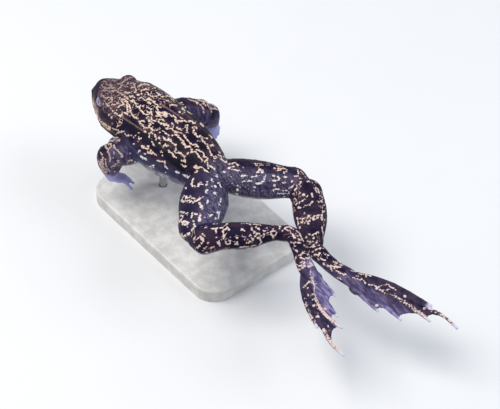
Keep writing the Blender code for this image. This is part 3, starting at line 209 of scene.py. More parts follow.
# Pale lines of the legs: points by distance down the limb and offset round it from its upper edge
# towards the side that its path turns to.
LIMB_LINES = {
    "thigh_left": (
        ((8.0, 5.0), (11.5, 5.0), (13.0, 4.3), (13.0, 2.4), (11.3, 2.0), (12.0, 0.8)),
        ((12.0, 7.8), (12.8, 7.4)), ((10.0, -0.6), (10.6, -1.0)), ((8.6, -2.0), (9.4, -2.6)),
        ((9.5, -5.0), (11.0, -6.0)), ((12.0, -2.3), (12.4, -2.8)), ((14.5, -1.0), (16.5, -0.9)),
        ((16.0, -4.4), (16.4, -5.0)),
        ((18.6, 9.0), (20.0, 8.0), (20.6, 5.6), (22.0, 2.8), (20.8, 1.4), (19.4, 0.6), (19.5, -0.5)),
        ((18.6, 9.0), (17.2, 7.4), (19.3, 5.4), (18.5, 4.4), (20.4, 2.4)), ((22.3, 0.4), (24.4, -0.9)),
        ((19.8, -2.3), (21.4, -2.0)), ((26.4, -3.9), (25.6, -4.9)), ((27.4, -2.1), (27.8, -2.6)),
        ((27.2, -0.6), (29.8, -1.2)), ((27.2, 1.0), (27.8, 0.7)), ((27.2, 2.2), (29.6, 1.9)),
        ((24.5, 9.0), (26.0, 6.4), (27.4, 4.0)), ((27.0, 8.2), (28.2, 5.8), (30.0, 6.6), (29.4, 8.4)),
        ((30.2, 8.2), (31.0, 5.2), (32.0, 2.6), (33.0, 3.0), (31.8, 5.4)), ((32.6, 0.3), (33.4, -0.3)),
        ((34.0, 8.0), (35.6, 5.5), (36.2, 3.0), (35.6, 1.0), (34.0, 0.2)), ((17.0, -7.0), (20.0, -6.6)),
        ((23.0, -7.8), (25.4, -8.2)),
    ),
    "thigh_right": (
        ((2.0, -1.2), (4.2, 0.0), (6.0, -0.4), (7.4, -1.4), (9.2, 0.4)), ((6.8, 0.8), (7.6, 0.8)),
        ((7.8, 2.2), (9.4, 2.4)), ((10.2, 2.4), (10.6, 2.6)), ((5.0, 5.0), (5.8, 5.4)),
        ((6.0, 4.6), (7.8, 5.4)), ((11.2, 4.2), (12.4, 4.5), (13.4, 4.0)),
        ((15.8, 4.1), (17.0, 3.6), (18.2, 3.4)), ((12.2, 6.6), (14.4, 5.8), (15.4, 5.8)),
        ((17.6, 6.8), (19.4, 6.2), (20.2, 5.2), (20.4, 3.4), (20.8, 2.6)), ((20.2, 5.2), (21.6, 5.2)),
        ((23.2, 4.4), (25.6, 4.2), (26.6, 3.6)), ((27.0, 5.2), (28.4, 4.4)), ((30.8, 4.1), (31.3, 4.2)),
        ((25.6, 2.3), (26.1, 3.0)), ((27.8, 2.4), (29.4, 2.2)),
        ((14.4, -2.6), (15.6, -2.6), (16.4, -1.2), (17.6, 0.0), (18.2, 0.6), (17.0, 1.8), (19.0, 1.8),
         (19.4, 0.8), (18.2, 0.5)), ((16.6, -3.2), (18.0, -2.9), (18.5, -1.9), (17.4, -1.8)),
        ((24.0, -1.2), (24.2, -3.2), (27.0, -2.8), (27.9, -2.0), (29.0, -0.4), (27.4, 0.6)),
        ((23.8, -1.0), (25.8, -1.9), (27.0, -1.6)), ((24.8, -0.2), (26.4, -0.6)),
        ((32.0, 2.2), (33.4, 1.4), (33.8, 0.0), (33.0, -1.8)), ((34.6, -1.6), (36.8, 0.0)),
        ((34.4, 2.2), (36.0, 2.0)), ((24.0, 9.2), (24.4, 8.4)), ((27.4, 8.2), (29.6, 7.8)),
        ((30.4, 7.0), (31.6, 5.6)), ((16.8, 8.0), (17.5, 8.2)), ((16.8, 9.6), (17.4, 9.8)),
        ((26.0, 9.9), (32.0, 8.9)), ((25.4, 7.6), (26.4, 7.9)), ((8.0, 8.0), (8.4, 8.2)),
        ((10.6, 8.6), (11.2, 9.0)),
    ),
    "shank_left": (
        ((0.5, 3.4), (3.0, 3.6), (5.0, 3.4), (6.2, 2.3), (6.3, 4.0), (5.6, 5.2), (3.2, 7.2), (1.6, 6.4)),
        ((9.8, 0.2), (12.8, 0.0), (14.2, 0.0), (14.9, -0.8), (16.4, -2.5)), ((10.5, -2.8), (12.4, -3.2)),
        ((10.2, 0.5), (11.6, 1.0), (11.7, 2.4)),
        ((14.4, 0.0), (14.5, 2.0), (14.0, 4.4), (12.4, 5.6), (11.0, 6.0)), ((15.0, 3.4), (15.8, 2.5)),
        ((16.0, -0.2), (16.4, 1.2), (17.3, 1.2)), ((12.0, 6.5), (12.5, 7.6)),
        ((8.0, 9.0), (9.4, 8.2), (10.2, 8.2)), ((5.0, 9.4), (6.4, 8.0)), ((7.3, 6.6), (8.0, 6.0)),
        ((11.0, 3.9), (11.4, 4.0)), ((15.2, 6.0), (15.6, 7.4), (17.0, 7.0), (16.9, 5.7)),
        ((19.0, 7.3), (19.6, 6.0), (20.3, 7.3), (19.0, 7.3)), ((19.7, 4.6), (20.6, 4.7)),
        ((21.6, 1.6), (22.0, 0.6), (22.8, 1.8)),
        ((23.5, -3.0), (24.6, -2.0), (26.8, -1.8), (28.0, -2.0), (29.6, -1.0)),
        ((25.9, -1.4), (26.0, 0.4)), ((27.0, -0.2), (27.4, 0.8)), ((28.9, 0.2), (28.2, 1.2)),
        ((25.6, 1.0), (26.2, 2.2), (28.0, 2.9), (29.0, 2.6)), ((30.5, 1.5), (31.2, 1.2)),
        ((24.4, 3.2), (25.2, 4.2), (25.7, 5.2), (24.6, 6.2), (23.2, 7.2)), ((23.1, 5.1), (23.4, 5.4)),
        ((26.8, 3.8), (27.6, 4.6), (28.8, 5.0), (28.4, 6.0), (28.6, 7.4)),
        ((20.6, 9.0), (24.0, 8.8), (27.0, 8.2)), ((34.3, -1.6), (34.8, -0.4), (34.6, 0.5)),
        ((33.0, 2.0), (34.4, 1.2), (35.6, 1.8), (35.4, 3.0), (34.2, 3.6), (33.2, 2.6)),
        ((34.2, 3.6), (34.4, 4.8)), ((36.0, -2.2), (37.0, -1.0), (37.2, 0.4)),
        ((38.2, 1.4), (39.4, -0.4), (41.0, -1.2), (42.6, 0.0), (44.0, 0.8)), ((39.6, 0.8), (40.8, 1.2)),
        ((42.0, 1.2), (42.1, 3.0), (41.6, 4.4)), ((40.6, 5.4), (42.4, 6.0), (44.0, 6.0)),
    ),
    "shank_right": (
        ((7.4, 6.0), (6.0, 5.0), (5.3, 3.8)), ((5.8, 2.4), (6.2, 2.2)),
        ((4.6, -0.8), (4.6, -1.8), (5.6, -3.0)),
        ((7.4, -3.0), (7.2, -4.2), (8.6, -4.8), (9.1, -3.6), (7.8, -2.8)),
        ((10.0, -4.2), (11.0, -5.6), (12.3, -5.4), (12.0, -4.1)), ((9.6, 6.0), (10.8, 5.0)),
        ((12.6, 5.6), (12.6, 3.6)), ((12.3, 2.6), (11.5, 1.4), (10.6, 0.6)), ((9.4, -1.0), (11.0, -1.2)),
        ((13.6, 7.0), (15.6, 6.4)), ((15.2, 4.2), (15.4, 3.8)), ((15.4, 2.4), (14.6, 1.5)),
        ((14.7, 0.3), (13.3, -0.9)), ((13.4, -3.1), (12.6, -4.6), (13.8, -6.0)),
        ((18.0, 2.4), (18.3, 2.2)), ((18.6, 6.6), (20.0, 5.2), (20.2, 3.4), (20.6, 2.4)),
        ((20.7, 1.2), (20.2, -1.2), (19.2, -3.4), (17.0, -5.0), (16.6, -6.4)),
        ((22.6, 6.4), (21.7, 4.6), (22.8, 2.4), (21.8, 0.2), (20.9, -2.2), (21.0, -5.4)),
        ((19.8, 5.6), (22.0, 5.8)), ((20.4, 3.4), (22.0, 3.3)), ((17.8, -4.6), (20.6, -4.2)),
        ((23.0, -5.2), (24.6, -3.8), (26.4, -4.6), (29.0, -5.2)),
        ((28.8, 3.0), (28.2, 1.4), (28.5, 0.2), (27.4, -1.4), (26.8, -2.8)),
        ((30.6, 2.8), (31.4, 1.4), (32.0, 0.8), (32.2, -1.4)), ((33.2, 0.0), (33.7, -4.2)),
        ((32.8, 3.6), (33.8, 2.2)),
    ),
    "tarsus_left": (
        ((2.4, 1.2), (3.4, 1.4), (4.6, 1.2), (5.0, 0.4)),
        ((1.8, -0.6), (3.2, -1.6), (4.6, -1.8), (6.4, -2.4)), ((5.2, -0.2), (5.9, -1.2)),
        ((5.6, 3.2), (6.2, 1.6), (6.6, 0.4), (7.0, -0.8)), ((5.4, 4.8), (6.8, 5.2)),
        ((8.3, -1.9), (8.7, -2.6)), ((9.5, 1.8), (9.8, 1.4)),
        ((13.2, 4.6), (11.8, 2.2), (11.5, 0.0), (10.6, -1.4)),
        ((12.3, 1.0), (13.5, 0.4), (14.0, -1.4), (13.4, -2.6), (12.4, -2.8), (11.6, -1.2)),
        ((14.6, 1.6), (15.2, 0.3)), ((13.6, -2.6), (15.6, -2.2), (17.8, -1.8)),
        ((14.6, 3.4), (15.8, 2.2), (16.4, 0.6)), ((16.0, 4.2), (17.2, 3.0), (17.0, 1.6), (18.0, -1.4)),
        ((9.6, 4.4), (10.4, 4.6)),
    ),
    "tarsus_right": (
        ((2.0, 2.0), (3.6, 0.6), (4.0, -1.2)), ((4.6, 2.8), (5.2, 1.2), (5.4, -0.6)),
        ((6.2, 3.0), (7.4, 1.4), (7.2, 0.4)), ((9.0, 2.0), (10.2, 1.6), (11.4, 0.4)),
        ((11.3, 2.7), (12.8, 2.4), (14.5, 1.2), (16.1, 0.4), (17.2, -0.4), (17.2, -1.4)),
        ((13.5, -0.8), (14.8, -1.3), (15.0, -0.2)), ((13.4, -2.3), (15.0, -3.0)),
        ((15.4, -2.7), (18.0, -3.8)), ((16.0, -1.4), (17.7, -2.4)),
        ((16.4, 0.6), (17.1, 1.4), (18.5, 1.5), (20.2, 1.0), (20.9, 0.2)), ((22.2, 0.9), (22.6, 1.2)),
        ((15.2, 2.1), (15.7, 2.3)), ((19.4, 3.6), (19.7, 3.9)), ((21.0, 3.1), (21.3, 3.3)),
    ),
}

# Pale lines of the feet: across from the vent's line and distance behind the vent
FOOT_LINES = (
    ((-0.6, 57.5), (1.7, 59.5), (2.0, 61.6), (2.7, 63.6), (4.5, 65.4), (5.7, 67.1), (8.4, 67.7)),
    ((3.0, 61.4), (5.5, 61.7), (8.3, 63.1)), ((0.4, 60.2), (2.8, 62.2), (1.4, 63.6)),
    ((6.8, 69.4), (9.7, 69.9)), ((7.2, 71.9), (10.1, 72.1)),
    ((5.6, 67.2), (7.0, 69.6), (7.6, 72.2), (8.6, 74.4)), ((8.6, 74.4), (10.3, 74.0)),
    ((11.8, 76.6), (12.2, 76.9)), ((13.6, 77.6), (14.1, 77.9)), ((16.2, 82.5), (16.6, 82.9)),
    ((15.2, 84.7), (15.6, 85.1)), ((12.2, 83.3), (12.6, 83.8)),
    ((-14.4, 67.1), (-15.6, 68.6), (-17.0, 69.2)), ((-14.9, 69.4), (-16.2, 71.4), (-17.6, 74.0)),
    ((-13.0, 69.4), (-14.2, 70.4), (-13.4, 71.2), (-12.0, 69.9)),
    ((-12.0, 69.9), (-12.8, 71.4), (-14.5, 72.9), (-14.2, 75.0)), ((-15.8, 72.8), (-17.0, 72.6)),
    ((-16.1, 77.4), (-16.2, 79.7), (-18.0, 80.4), (-19.8, 81.4), (-20.6, 85.8)),
    ((-14.8, 75.8), (-15.2, 77.0)), ((-16.7, 82.0), (-18.0, 82.8), (-19.3, 84.0)),
    ((-16.4, 80.6), (-17.2, 83.6), (-18.8, 87.0), (-20.0, 90.5)), ((-10.7, 67.5), (-11.2, 67.8)),
    ((-9.4, 67.0), (-9.8, 67.4)),
)

# Pale lines of the head as the camera sees them. These, those of the back and the ridges are read off
# the picture in its own steps, right and down of its upper left corner.
HEAD_LINES = (
    ((101, 91), (104, 90.5), (108, 91), (112, 91.5), (116, 90), (118, 91.5), (120, 93.5)),
    ((104, 88.5), (108, 88.5), (111, 87), (114, 88), (116, 89)), ((101, 85), (104, 87), (106, 87.5)),
    ((109, 84), (112, 85.5), (112, 88)), ((118, 84), (121, 84), (123, 82), (125, 79.5)),
    ((119, 89), (121, 86), (122, 83.5)), ((127, 79), (129, 77.5), (132, 77)),
    ((126, 87), (127, 84), (129, 81.5)), ((131, 83), (134, 83.5), (136, 84)),
    ((131, 88), (133, 87), (134, 85), (135, 88), (136, 90)),
    ((124, 92.5), (128, 93), (132, 92), (136, 92.5), (138, 92)),
    ((120, 93), (123, 95), (126, 97), (129, 100), (132, 101), (135, 99.5), (138, 99), (140, 97.5)),
    ((130, 96.5), (133, 96), (136, 95.5), (138, 95.5)),
    ((141, 90.5), (144, 89.5), (147, 89.5), (149, 88.5)), ((138, 87), (140, 85), (144, 84), (149, 85)),
    ((140, 92), (142, 94.5), (141, 97), (143, 99), (146, 100.5), (149, 103), (151.5, 103.5)),
    ((146, 92), (148, 93), (150, 95.5), (153, 97), (156, 96), (158, 95)),
    ((157, 92.5), (160, 95), (163, 97), (166, 96.5), (168, 95), (170, 96.5), (173, 97.5)),
    ((147, 99), (149, 98), (152, 100.5), (155, 101.5)),
    ((150, 103), (153, 102), (156, 104), (158, 105.5)), ((101, 97), (101.5, 94), (103, 96), (104, 97)),
    ((106, 98.5), (108, 97), (110, 98)), ((104, 99), (105, 102), (107, 105), (110, 107), (112, 110)),
    ((109, 102.5), (112, 102), (112.5, 99), (111, 96.5)), ((112, 105), (115, 104.5), (117, 102.5)),
    ((116, 110), (116.5, 107), (119, 106), (122, 105), (124, 104), (122, 102)),
    ((114, 112), (116, 111), (118, 109)), ((118, 97), (121, 98.5), (122, 101), (120, 100)),
    ((124, 98), (126, 101), (128, 103), (130, 105), (130, 108), (131, 110.5), (129, 112)),
    ((127, 103), (127, 107), (128, 110), (127, 113)),
    ((121, 115.5), (123, 112.5), (126, 113), (128, 115), (130, 116)),
    ((130, 110), (131, 113), (133, 116), (136, 118), (138, 119)), ((115, 113), (118, 115), (121, 117)),
    ((104, 81), (107, 82.5), (106, 84.5)), ((112, 80), (115, 81), (117, 79.5)),
)

# The same of the neck, back and rump
BACK_LINES = (
    ((109, 114), (108, 118), (110, 119), (112, 117.5), (113, 116)),
    ((110.5, 119), (111, 122), (112, 124)), ((118, 126), (117.5, 124), (119, 122), (121, 122.5)),
    ((109, 127), (109.5, 129.5), (110.5, 128)),
    ((113, 129), (116, 129.5), (118, 130), (120, 132), (123.5, 131.5)),
    ((120, 132), (117.5, 133), (116.5, 134.5)),
    ((125, 134), (128, 136), (131, 135), (134, 137), (137, 135), (139, 133.5)),
    ((133, 144), (136, 143), (138.5, 141), (139.5, 138)),
    ((141, 145.5), (143, 148), (145, 148.5), (148, 148.5), (148, 146)), ((138, 153), (140, 150)),
    ((144, 154), (148, 154), (150.5, 153), (151, 150.5), (154, 153.5), (156, 154.5)),
    ((134, 101), (136, 104), (137, 107), (139, 107), (141, 105.5), (144, 106.5), (146, 105.5), (149, 108),
     (152, 109.5)),
    ((140, 108), (141, 111), (143, 113), (145, 114.5), (148, 114.5), (150, 113), (147, 111.5)),
    ((151, 109.5), (151, 112), (152, 114), (151, 116)),
    ((145, 118.5), (148, 117.5), (150, 116), (152, 117.5), (150, 119), (152, 120.5), (155, 121)),
    ((139, 121.5), (141, 124), (143, 126), (145, 128), (147.5, 128.5), (149.5, 126), (150, 123.5),
     (149.5, 121)), ((139, 121.5), (142, 120.5), (144, 121)),
    ((156, 112), (158, 113), (158, 110), (157, 108), (158, 105)),
    ((158, 115), (159, 112), (162, 111.5), (165, 112.5), (167, 113.5)),
    ((153, 117), (156, 116), (159, 115.5), (162, 115.5), (165, 114.5), (169, 114.5)),
    ((160, 107), (163, 107.5)),
    ((156, 120.5), (159, 119), (161, 119.5), (164, 119.5), (165, 122), (163, 124), (160, 123.5),
     (158, 121.5)), ((150, 124), (153, 123)),
    ((152, 127.5), (151, 129.5), (155, 130.5), (158, 129.5), (160, 128)),
    ((163, 125), (166, 124.5), (169, 125)),
    ((165, 116.5), (168, 116), (171, 115.5), (175, 116.5), (176, 118.5)),
    ((175, 119), (175.5, 121), (178, 123)), ((172, 123), (174, 125), (173, 127)),
    ((166, 128.5), (169, 127.5), (172, 129), (174, 131), (176, 132), (176, 134)),
    ((163, 131), (166, 133.5), (169, 135), (168, 137)),
    ((172, 135.5), (175, 134.5), (178, 135.5), (179, 137.5), (181, 139.5), (183, 141), (184, 143),
     (186, 146), (189, 147)),
    ((176, 134), (179, 132.5), (182, 133), (184, 136), (187, 140), (190, 143), (193, 145)),
    ((177, 127), (179, 129), (181, 129.5)),
    ((178, 121), (180, 121), (184, 121), (188, 121.5), (191, 121)),
    ((186, 125.5), (188, 125), (187, 128), (187, 132.5)), ((182, 128.5), (184, 128)),
    ((180, 103), (183, 102.5), (184, 101.5)), ((185, 107), (187, 105)),
    ((182, 108.5), (184, 110), (184.5, 113), (183, 114)), ((188, 111), (190, 113), (192, 114)),
    ((170, 105.5), (173, 104.5), (176, 105.5)), ((171, 101), (174, 100)), ((180.5, 117.5), (181.5, 118)),
    ((149, 134), (151, 132.5), (152, 133)), ((149.5, 135.5), (150, 137)),
    ((154, 133.5), (155, 136), (156.5, 139)), ((159.5, 137), (160, 139.5)),
    ((163, 136.5), (165, 139.5), (167, 139.5)), ((159, 142.5), (161, 145)),
    ((163, 147), (165, 144), (166, 146), (168, 145.5)), ((151, 141), (153, 143), (154, 146)),
    ((161, 152), (162, 152.4)), ((162, 155), (162.5, 155.5)), ((145.5, 132.5), (144.5, 130.5)),
    ((170, 139), (171, 142), (174, 144), (176, 145), (175.5, 148), (177, 150), (174.5, 151)),
    ((168, 150), (170, 152), (173, 154), (174, 156), (177, 158)), ((176.5, 153), (178, 153)),
    ((179, 153), (181, 153.5), (182, 155.5), (185, 156)), ((184.5, 158), (185, 161.5)),
    ((181.5, 161), (184, 161.5)),
    ((186, 154), (189, 152.5), (192, 151.5), (191.5, 148), (189, 146), (186, 147), (184, 144.5),
     (182, 143)), ((180, 138), (182, 140), (184, 142)),
    ((191, 143.5), (194, 145), (197, 144.5), (198, 147), (196, 149), (199, 149.5)),
    ((193, 127), (194, 130), (193, 132), (196, 134.5), (198, 137), (200, 135.5), (202.5, 138.5)),
    ((199, 141), (202, 140.5), (204, 141.5), (206, 144), (208, 146), (213, 145)),
    ((208, 146.5), (209, 149), (210, 151.5), (211.5, 154.5), (214, 156.5), (218, 157)),
    ((193.5, 152), (196, 152), (198, 154), (199, 157), (201, 158.5), (201.5, 161), (204, 161.5),
     (207, 160.5), (208, 158.5), (206, 157), (203, 157)),
    ((197, 150.5), (200, 151), (203, 152.5), (204, 155), (203, 157)),
    ((209, 161.5), (207.5, 163), (208, 166), (211, 166), (213, 168), (215.5, 169.5)),
    ((193.5, 166), (196, 167.5), (197, 170), (196, 173)), ((196, 165.5), (198, 168), (200, 167.5)),
    ((200, 166.5), (203, 168), (206, 171), (209, 173), (211, 173.5)),
    ((182, 164.5), (184, 166.5), (187, 166)), ((192, 121), (193, 122.5), (195, 123)),
    ((201, 124), (203.5, 126)), ((209.5, 135), (212, 137.5)), ((195, 127), (197, 128.5)),
    ((204, 138), (207, 138.5)), ((219, 155), (222, 156.5), (225, 157)),
    ((221, 159), (224, 161.5), (227, 162)), ((215, 159), (214.5, 161)),
    ((185, 176), (188, 178), (189, 179.5)), ((187.5, 183), (188, 185)), ((208, 177.5), (209, 178.5)),
    ((212, 178), (212, 180)), ((215, 176.5), (217, 175)), ((207, 182.5), (208, 181)),
    ((219, 183), (221, 185)), ((223, 172), (225, 172)), ((189, 178), (190, 176)),
)

# The same of the arms and of the left flank, but in millimetres right and up of the picture's middle
ARM_LINES = (
    ((-58.8, 24.1), (-58.1, 25.1), (-56.3, 25.9), (-55.3, 26.1)), ((-55.3, 27.0), (-53.3, 27.3)),
    ((-54.2, 25.8), (-52.7, 26.1)),
    ((-58.8, 24.1), (-58.3, 23.1), (-57.3, 22.5), (-56.1, 23.5), (-56.5, 24.5), (-58.1, 24.5)),
    ((-55.1, 23.9), (-54.5, 22.3), (-53.1, 21.3), (-52.0, 20.0), (-51.8, 19.3)),
    ((-57.5, 22.3), (-57.6, 21.1), (-57.1, 20.3), (-56.7, 19.6), (-56.7, 17.6)),
    ((-55.1, 21.5), (-55.0, 20.3)), ((-55.4, 18.8), (-55.1, 18.5)),
    ((-56.1, 15.2), (-54.9, 15.8), (-53.9, 16.6), (-52.7, 17.0)),
    ((-59.5, 19.0), (-60.3, 17.6), (-60.4, 15.6), (-59.9, 14.0), (-58.9, 13.0), (-58.1, 12.8)),
    ((-58.1, 12.8), (-58.5, 14.0), (-59.5, 15.4), (-59.7, 17.2), (-59.5, 19.0)),
    ((-58.5, 18.4), (-58.4, 16.4), (-57.7, 14.8), (-56.9, 13.4)), ((-60.5, 21.3), (-60.1, 20.0)),
    ((-61.2, 17.6), (-60.8, 16.0)), ((-59.7, 11.9), (-58.7, 11.5)),
    ((-49.5, 16.6), (-48.8, 18.4), (-48.1, 19.6), (-48.0, 20.3)),
    ((-24.8, 42.7), (-23.7, 42.1), (-22.2, 41.8), (-20.5, 40.7), (-19.4, 39.7), (-18.7, 38.5),
     (-18.7, 37.3)),
    ((-21.7, 42.9), (-20.2, 42.1), (-18.3, 41.8), (-16.8, 41.0), (-15.4, 40.9), (-13.6, 39.7)),
    ((-17.2, 40.3), (-16.1, 39.4), (-15.8, 38.3), (-15.6, 37.3)),
    ((-15.8, 38.8), (-14.3, 38.8), (-12.3, 38.3)), ((-18.9, 41.0), (-18.1, 40.3)),
)
FLANK_LINES = (
    ((-44.8, 19.8), (-43.3, 19.1), (-42.0, 18.1)), ((-41.5, 21.3), (-38.5, 20.3)),
    ((-40.7, 15.3), (-39.0, 16.0), (-39.2, 14.8)), ((-37.7, 17.8), (-34.4, 17.1)),
    ((-34.7, 17.6), (-34.4, 15.8), (-33.4, 14.5)), ((-44.0, 23.9), (-41.5, 22.4)),
    ((-26.8, 12.0), (-24.8, 11.0)), ((-30.0, 13.4), (-28.8, 12.8)), ((-20.0, 32.8), (-18.9, 31.6)),
    ((-16.5, 28.1), (-15.2, 27.2)), ((-46.6, 17.2), (-45.8, 16.0)), ((-39.9, 12.4), (-37.6, 10.9)),
    ((-36.2, 10.4), (-34.3, 9.5), (-32.4, 9.0), (-31.0, 8.7)),
)

# Brown ridges along both sides of the back, in the picture's steps
RIDGE_LINES = (
    ((121, 116), (126, 119.5), (133, 124), (139, 128), (146, 133)),
    ((160, 103), (166, 107.5), (173, 112), (181, 117)),
)


# The skin's attributes, each of three values, and what they hold; skin_marks() works them out
SKIN_MARKS = {
    "marks": ("border", "maze", "spots"),
    "tone": ("under", "lilac", "grain"),
    "accent": ("dark", "warm", "tips"),
    "face": ("lip", "dull", "slate"),
    # the third value of drawn: painted shade in the grooves, less the painted light on the hands
    "drawn": ("drawn", "fine", "groove_shade_hand_light"),
}
INNER_WEB_LILAC = {"left": 0.80, "right": 0.34}
# Pale line down a toe: number of the toe, share of its length from and to, half width
TOE_LINES = {
    "left": ((2, 0.42, 0.97, 0.65), (3, 0.66, 0.97, 0.55), (4, 0.45, 1.10, 0.35)),
    "right": ((2, 0.42, 0.97, 0.45), (3, 0.66, 0.97, 0.35)),
}
# Joints of the five toes, each as a share of its length
TOE_JOINTS = ((0.55, 0.80), (0.50, 0.78), (0.45, 0.66, 0.84), (0.42, 0.60, 0.76, 0.89), (0.48, 0.68, 0.85))
STREAK_SCALE = (1.2, 0.28, 0.5)     # draws the noise of streaks and grooves out along the body
FLOOR_HALF = 3.0

# Colours of the skin between the pale lines
GROUND_DEEP = (0.0075, 0.0040, 0.0200)
GROUND_BROWN = (0.031, 0.017, 0.035)
SLATE = (0.021, 0.021, 0.056)
REDDISH_DEEP = (0.023, 0.013, 0.023)
REDDISH = (0.084, 0.050, 0.063)
MAUVE_DEEP = (0.088, 0.072, 0.170)
MAUVE = (0.265, 0.222, 0.390)
# painted light: pale lilac for the light and the sky's reflection on the hands
PAINTED_HAND_LIGHT = (0.44, 0.43, 0.76)
GRANULE = (0.150, 0.145, 0.200)
# painted shade: the dark of the grooves of the rump and the rear thighs
GROOVE_SHADE = (0.020, 0.014, 0.026)
BELLY_GREY = (0.20, 0.185, 0.25)
# also the painted sky reflection along the lower left flank
BELLY_PALE = (0.50, 0.47, 0.50)
BLOTCH = (0.0050, 0.0038, 0.0120)
# also the painted shade of the mouth's crease and the nostrils
MASK = (0.0150, 0.0100, 0.0250)
RIDGE = (0.200, 0.108, 0.112)
# Colours of the pale lines and tips
CREAM_DEEP = (0.46, 0.31, 0.23)
CREAM = (0.72, 0.57, 0.46)
CREAM_DULL = (0.18, 0.120, 0.132)
CREAM_LEGS = (0.64, 0.50, 0.48)
CREAM_COOL = (0.70, 0.68, 0.68)
FRINGE = (0.190, 0.105, 0.082)
TOE_TIP = (0.58, 0.56, 0.68)
# Colours of the eye
IRIS_DEEP = (0.050, 0.026, 0.010)
IRIS_BRONZE = (0.300, 0.170, 0.055)
IRIS_FLECK = (0.46, 0.30, 0.11)
IRIS_SLIT = (0.022, 0.012, 0.010)
IRIS_LOW = (0.050, 0.028, 0.016)
IRIS_GOLD = (0.72, 0.52, 0.20)
# painted reflection of the sky on the upper iris
IRIS_SKY_REFLECTION = (0.150, 0.140, 0.400)
PUPIL = (0.002, 0.002, 0.003)
# painted sky reflection: the eyeball's edge in a bluish lilac like a nictitating membrane
EYE_RIM_SHEEN = (0.110, 0.100, 0.300)
EYE_SHEEN = (0.190, 0.175, 0.470)
# Colours of the stand and the studio
STONE_GREY = (0.50, 0.485, 0.455)
STONE_PALE = (0.64, 0.63, 0.60)
STONE_FLECK = (0.30, 0.28, 0.26)
STEEL_DULL = (0.46, 0.46, 0.47)
STEEL_BRIGHT = (0.62, 0.62, 0.63)
FLOOR_GREY = (0.66, 0.66, 0.65)
FLOOR_PALE = (0.70, 0.70, 0.69)
SKY_COLOUR = (0.80, 0.86, 1.0, 1.0)
KEY_COLOUR = (1.0, 0.98, 0.95)
FILL_COLOUR = (0.86, 0.91, 1.0)


def smooth_curve(keys, values, at):
    """Cubic Hermite curve through values at keys, with slopes taken from the neighbouring keys."""
    keys = np.asarray(keys, float)
    values = np.asarray(values, float)
    at = np.clip(at, keys[0], keys[-1])
    slopes = np.gradient(values, keys, axis=0)
    left = np.clip(np.searchsorted(keys, at, side="right") - 1, 0, len(keys) - 2)
    span = keys[left + 1] - keys[left]
    u = (at - keys[left]) / span
    if values.ndim > 1:
        u = u[:, None]
        span = span[:, None]
    return ((2 * u**3 - 3 * u**2 + 1) * values[left] + (u**3 - 2 * u**2 + u) * span * slopes[left]
            + (3 * u**2 - 2 * u**3) * values[left + 1] + (u**3 - u**2) * span * slopes[left + 1])


def smooth_step(value, low, high):
    """0 below low, 1 above high and 3u^2 - 2u^3 between them; low may be the larger."""
    u = np.clip((value - low) / (high - low), 0.0, 1.0)
    return u * u * (3.0 - 2.0 * u)


def bell(value, width):
    """Gaussian hump, 1 at zero."""
    return np.exp(-(value / width)**2)


def path_length(points):
    """Distance along a path at each of its points."""
    steps = np.linalg.norm(np.diff(np.asarray(points, float), axis=0), axis=1)
    return np.concatenate([[0.0], np.cumsum(steps)])


def to_stand(points):
    """Frog frame in millimetres to the model's frame in metres."""
    return (np.asarray(points, float) + (0.0, BODY_BACK, BODY_LIFT)) * MM


def from_stand(places):
    """The model's frame in metres to the frog frame in millimetres."""
    return np.asarray(places, float) / MM - (0.0, BODY_BACK, BODY_LIFT)


def lump_field(points, size, seed):
    """Smooth random field from -1 to 1: random values at the corners of a cubic lattice with cells of
    the given size, blended along each axis by 3u^2 - 2u^3."""
    place = np.asarray(points, float) / size + 500.0
    cell = np.floor(place).astype(np.int64)
    part = place - cell
    part = part * part * (3.0 - 2.0 * part)
    total = np.zeros(len(place))
    for corner in range(8):
        step = np.array([corner & 1, corner >> 1 & 1, corner >> 2])
        key = (cell + step) @ np.array([73856093, 19349663, 83492791]) + seed * 1013904223
        key = (key ^ (key >> 13)) * 1274126177 & 0x7FFFFFFF
        value = ((key ^ (key >> 16)) & 0xFFFF) / 32767.5 - 1.0
        total += value * np.prod(np.where(step == 1, part, 1.0 - part), axis=1)
    return total


def trunk_keys(column):
    """One column of the trunk's table, as a function of the distance in front of the vent."""
    keys = np.array(TRUNK_KEYS)
    return lambda along: smooth_curve(keys[:, 0], keys[:, column], along)


def trunk_yaw(along):
    """Turn of the cross-section, from the bend of the trunk's middle line."""
    step = 0.5
    middle = trunk_keys(1)
    return np.arctan2(middle(along + step) - middle(along - step), 2 * step)


def trunk_point(along, angle, grow=0.0):
    """Surface of trunk and head: in each cross-section the superellipse |x/a|^n + |z/b|^n = 1, where
    a and b are the half sizes and n the squareness; angle 0 is at the left side."""
    along = np.asarray(along, float)
    keys = np.array(TRUNK_KEYS)
    middle, half, top, bottom, upper, lower = smooth_curve(keys[:, 0], keys[:, 1:], along).T
    yaw = trunk_yaw(along)
    cosine = np.cos(angle)
    sine = np.sin(angle)
    power = 2.0 / np.where(sine >= 0, upper, lower)
    height = np.where(sine >= 0, top - SIDE_LEVEL, SIDE_LEVEL - bottom)
    across = np.sign(cosine) * np.abs(cosine)**power * (half + grow)
    up = np.sign(sine) * np.abs(sine)**power * (height + grow)
    return np.stack([middle + across * np.cos(yaw), -along + across * np.sin(yaw), SIDE_LEVEL + up], -1)


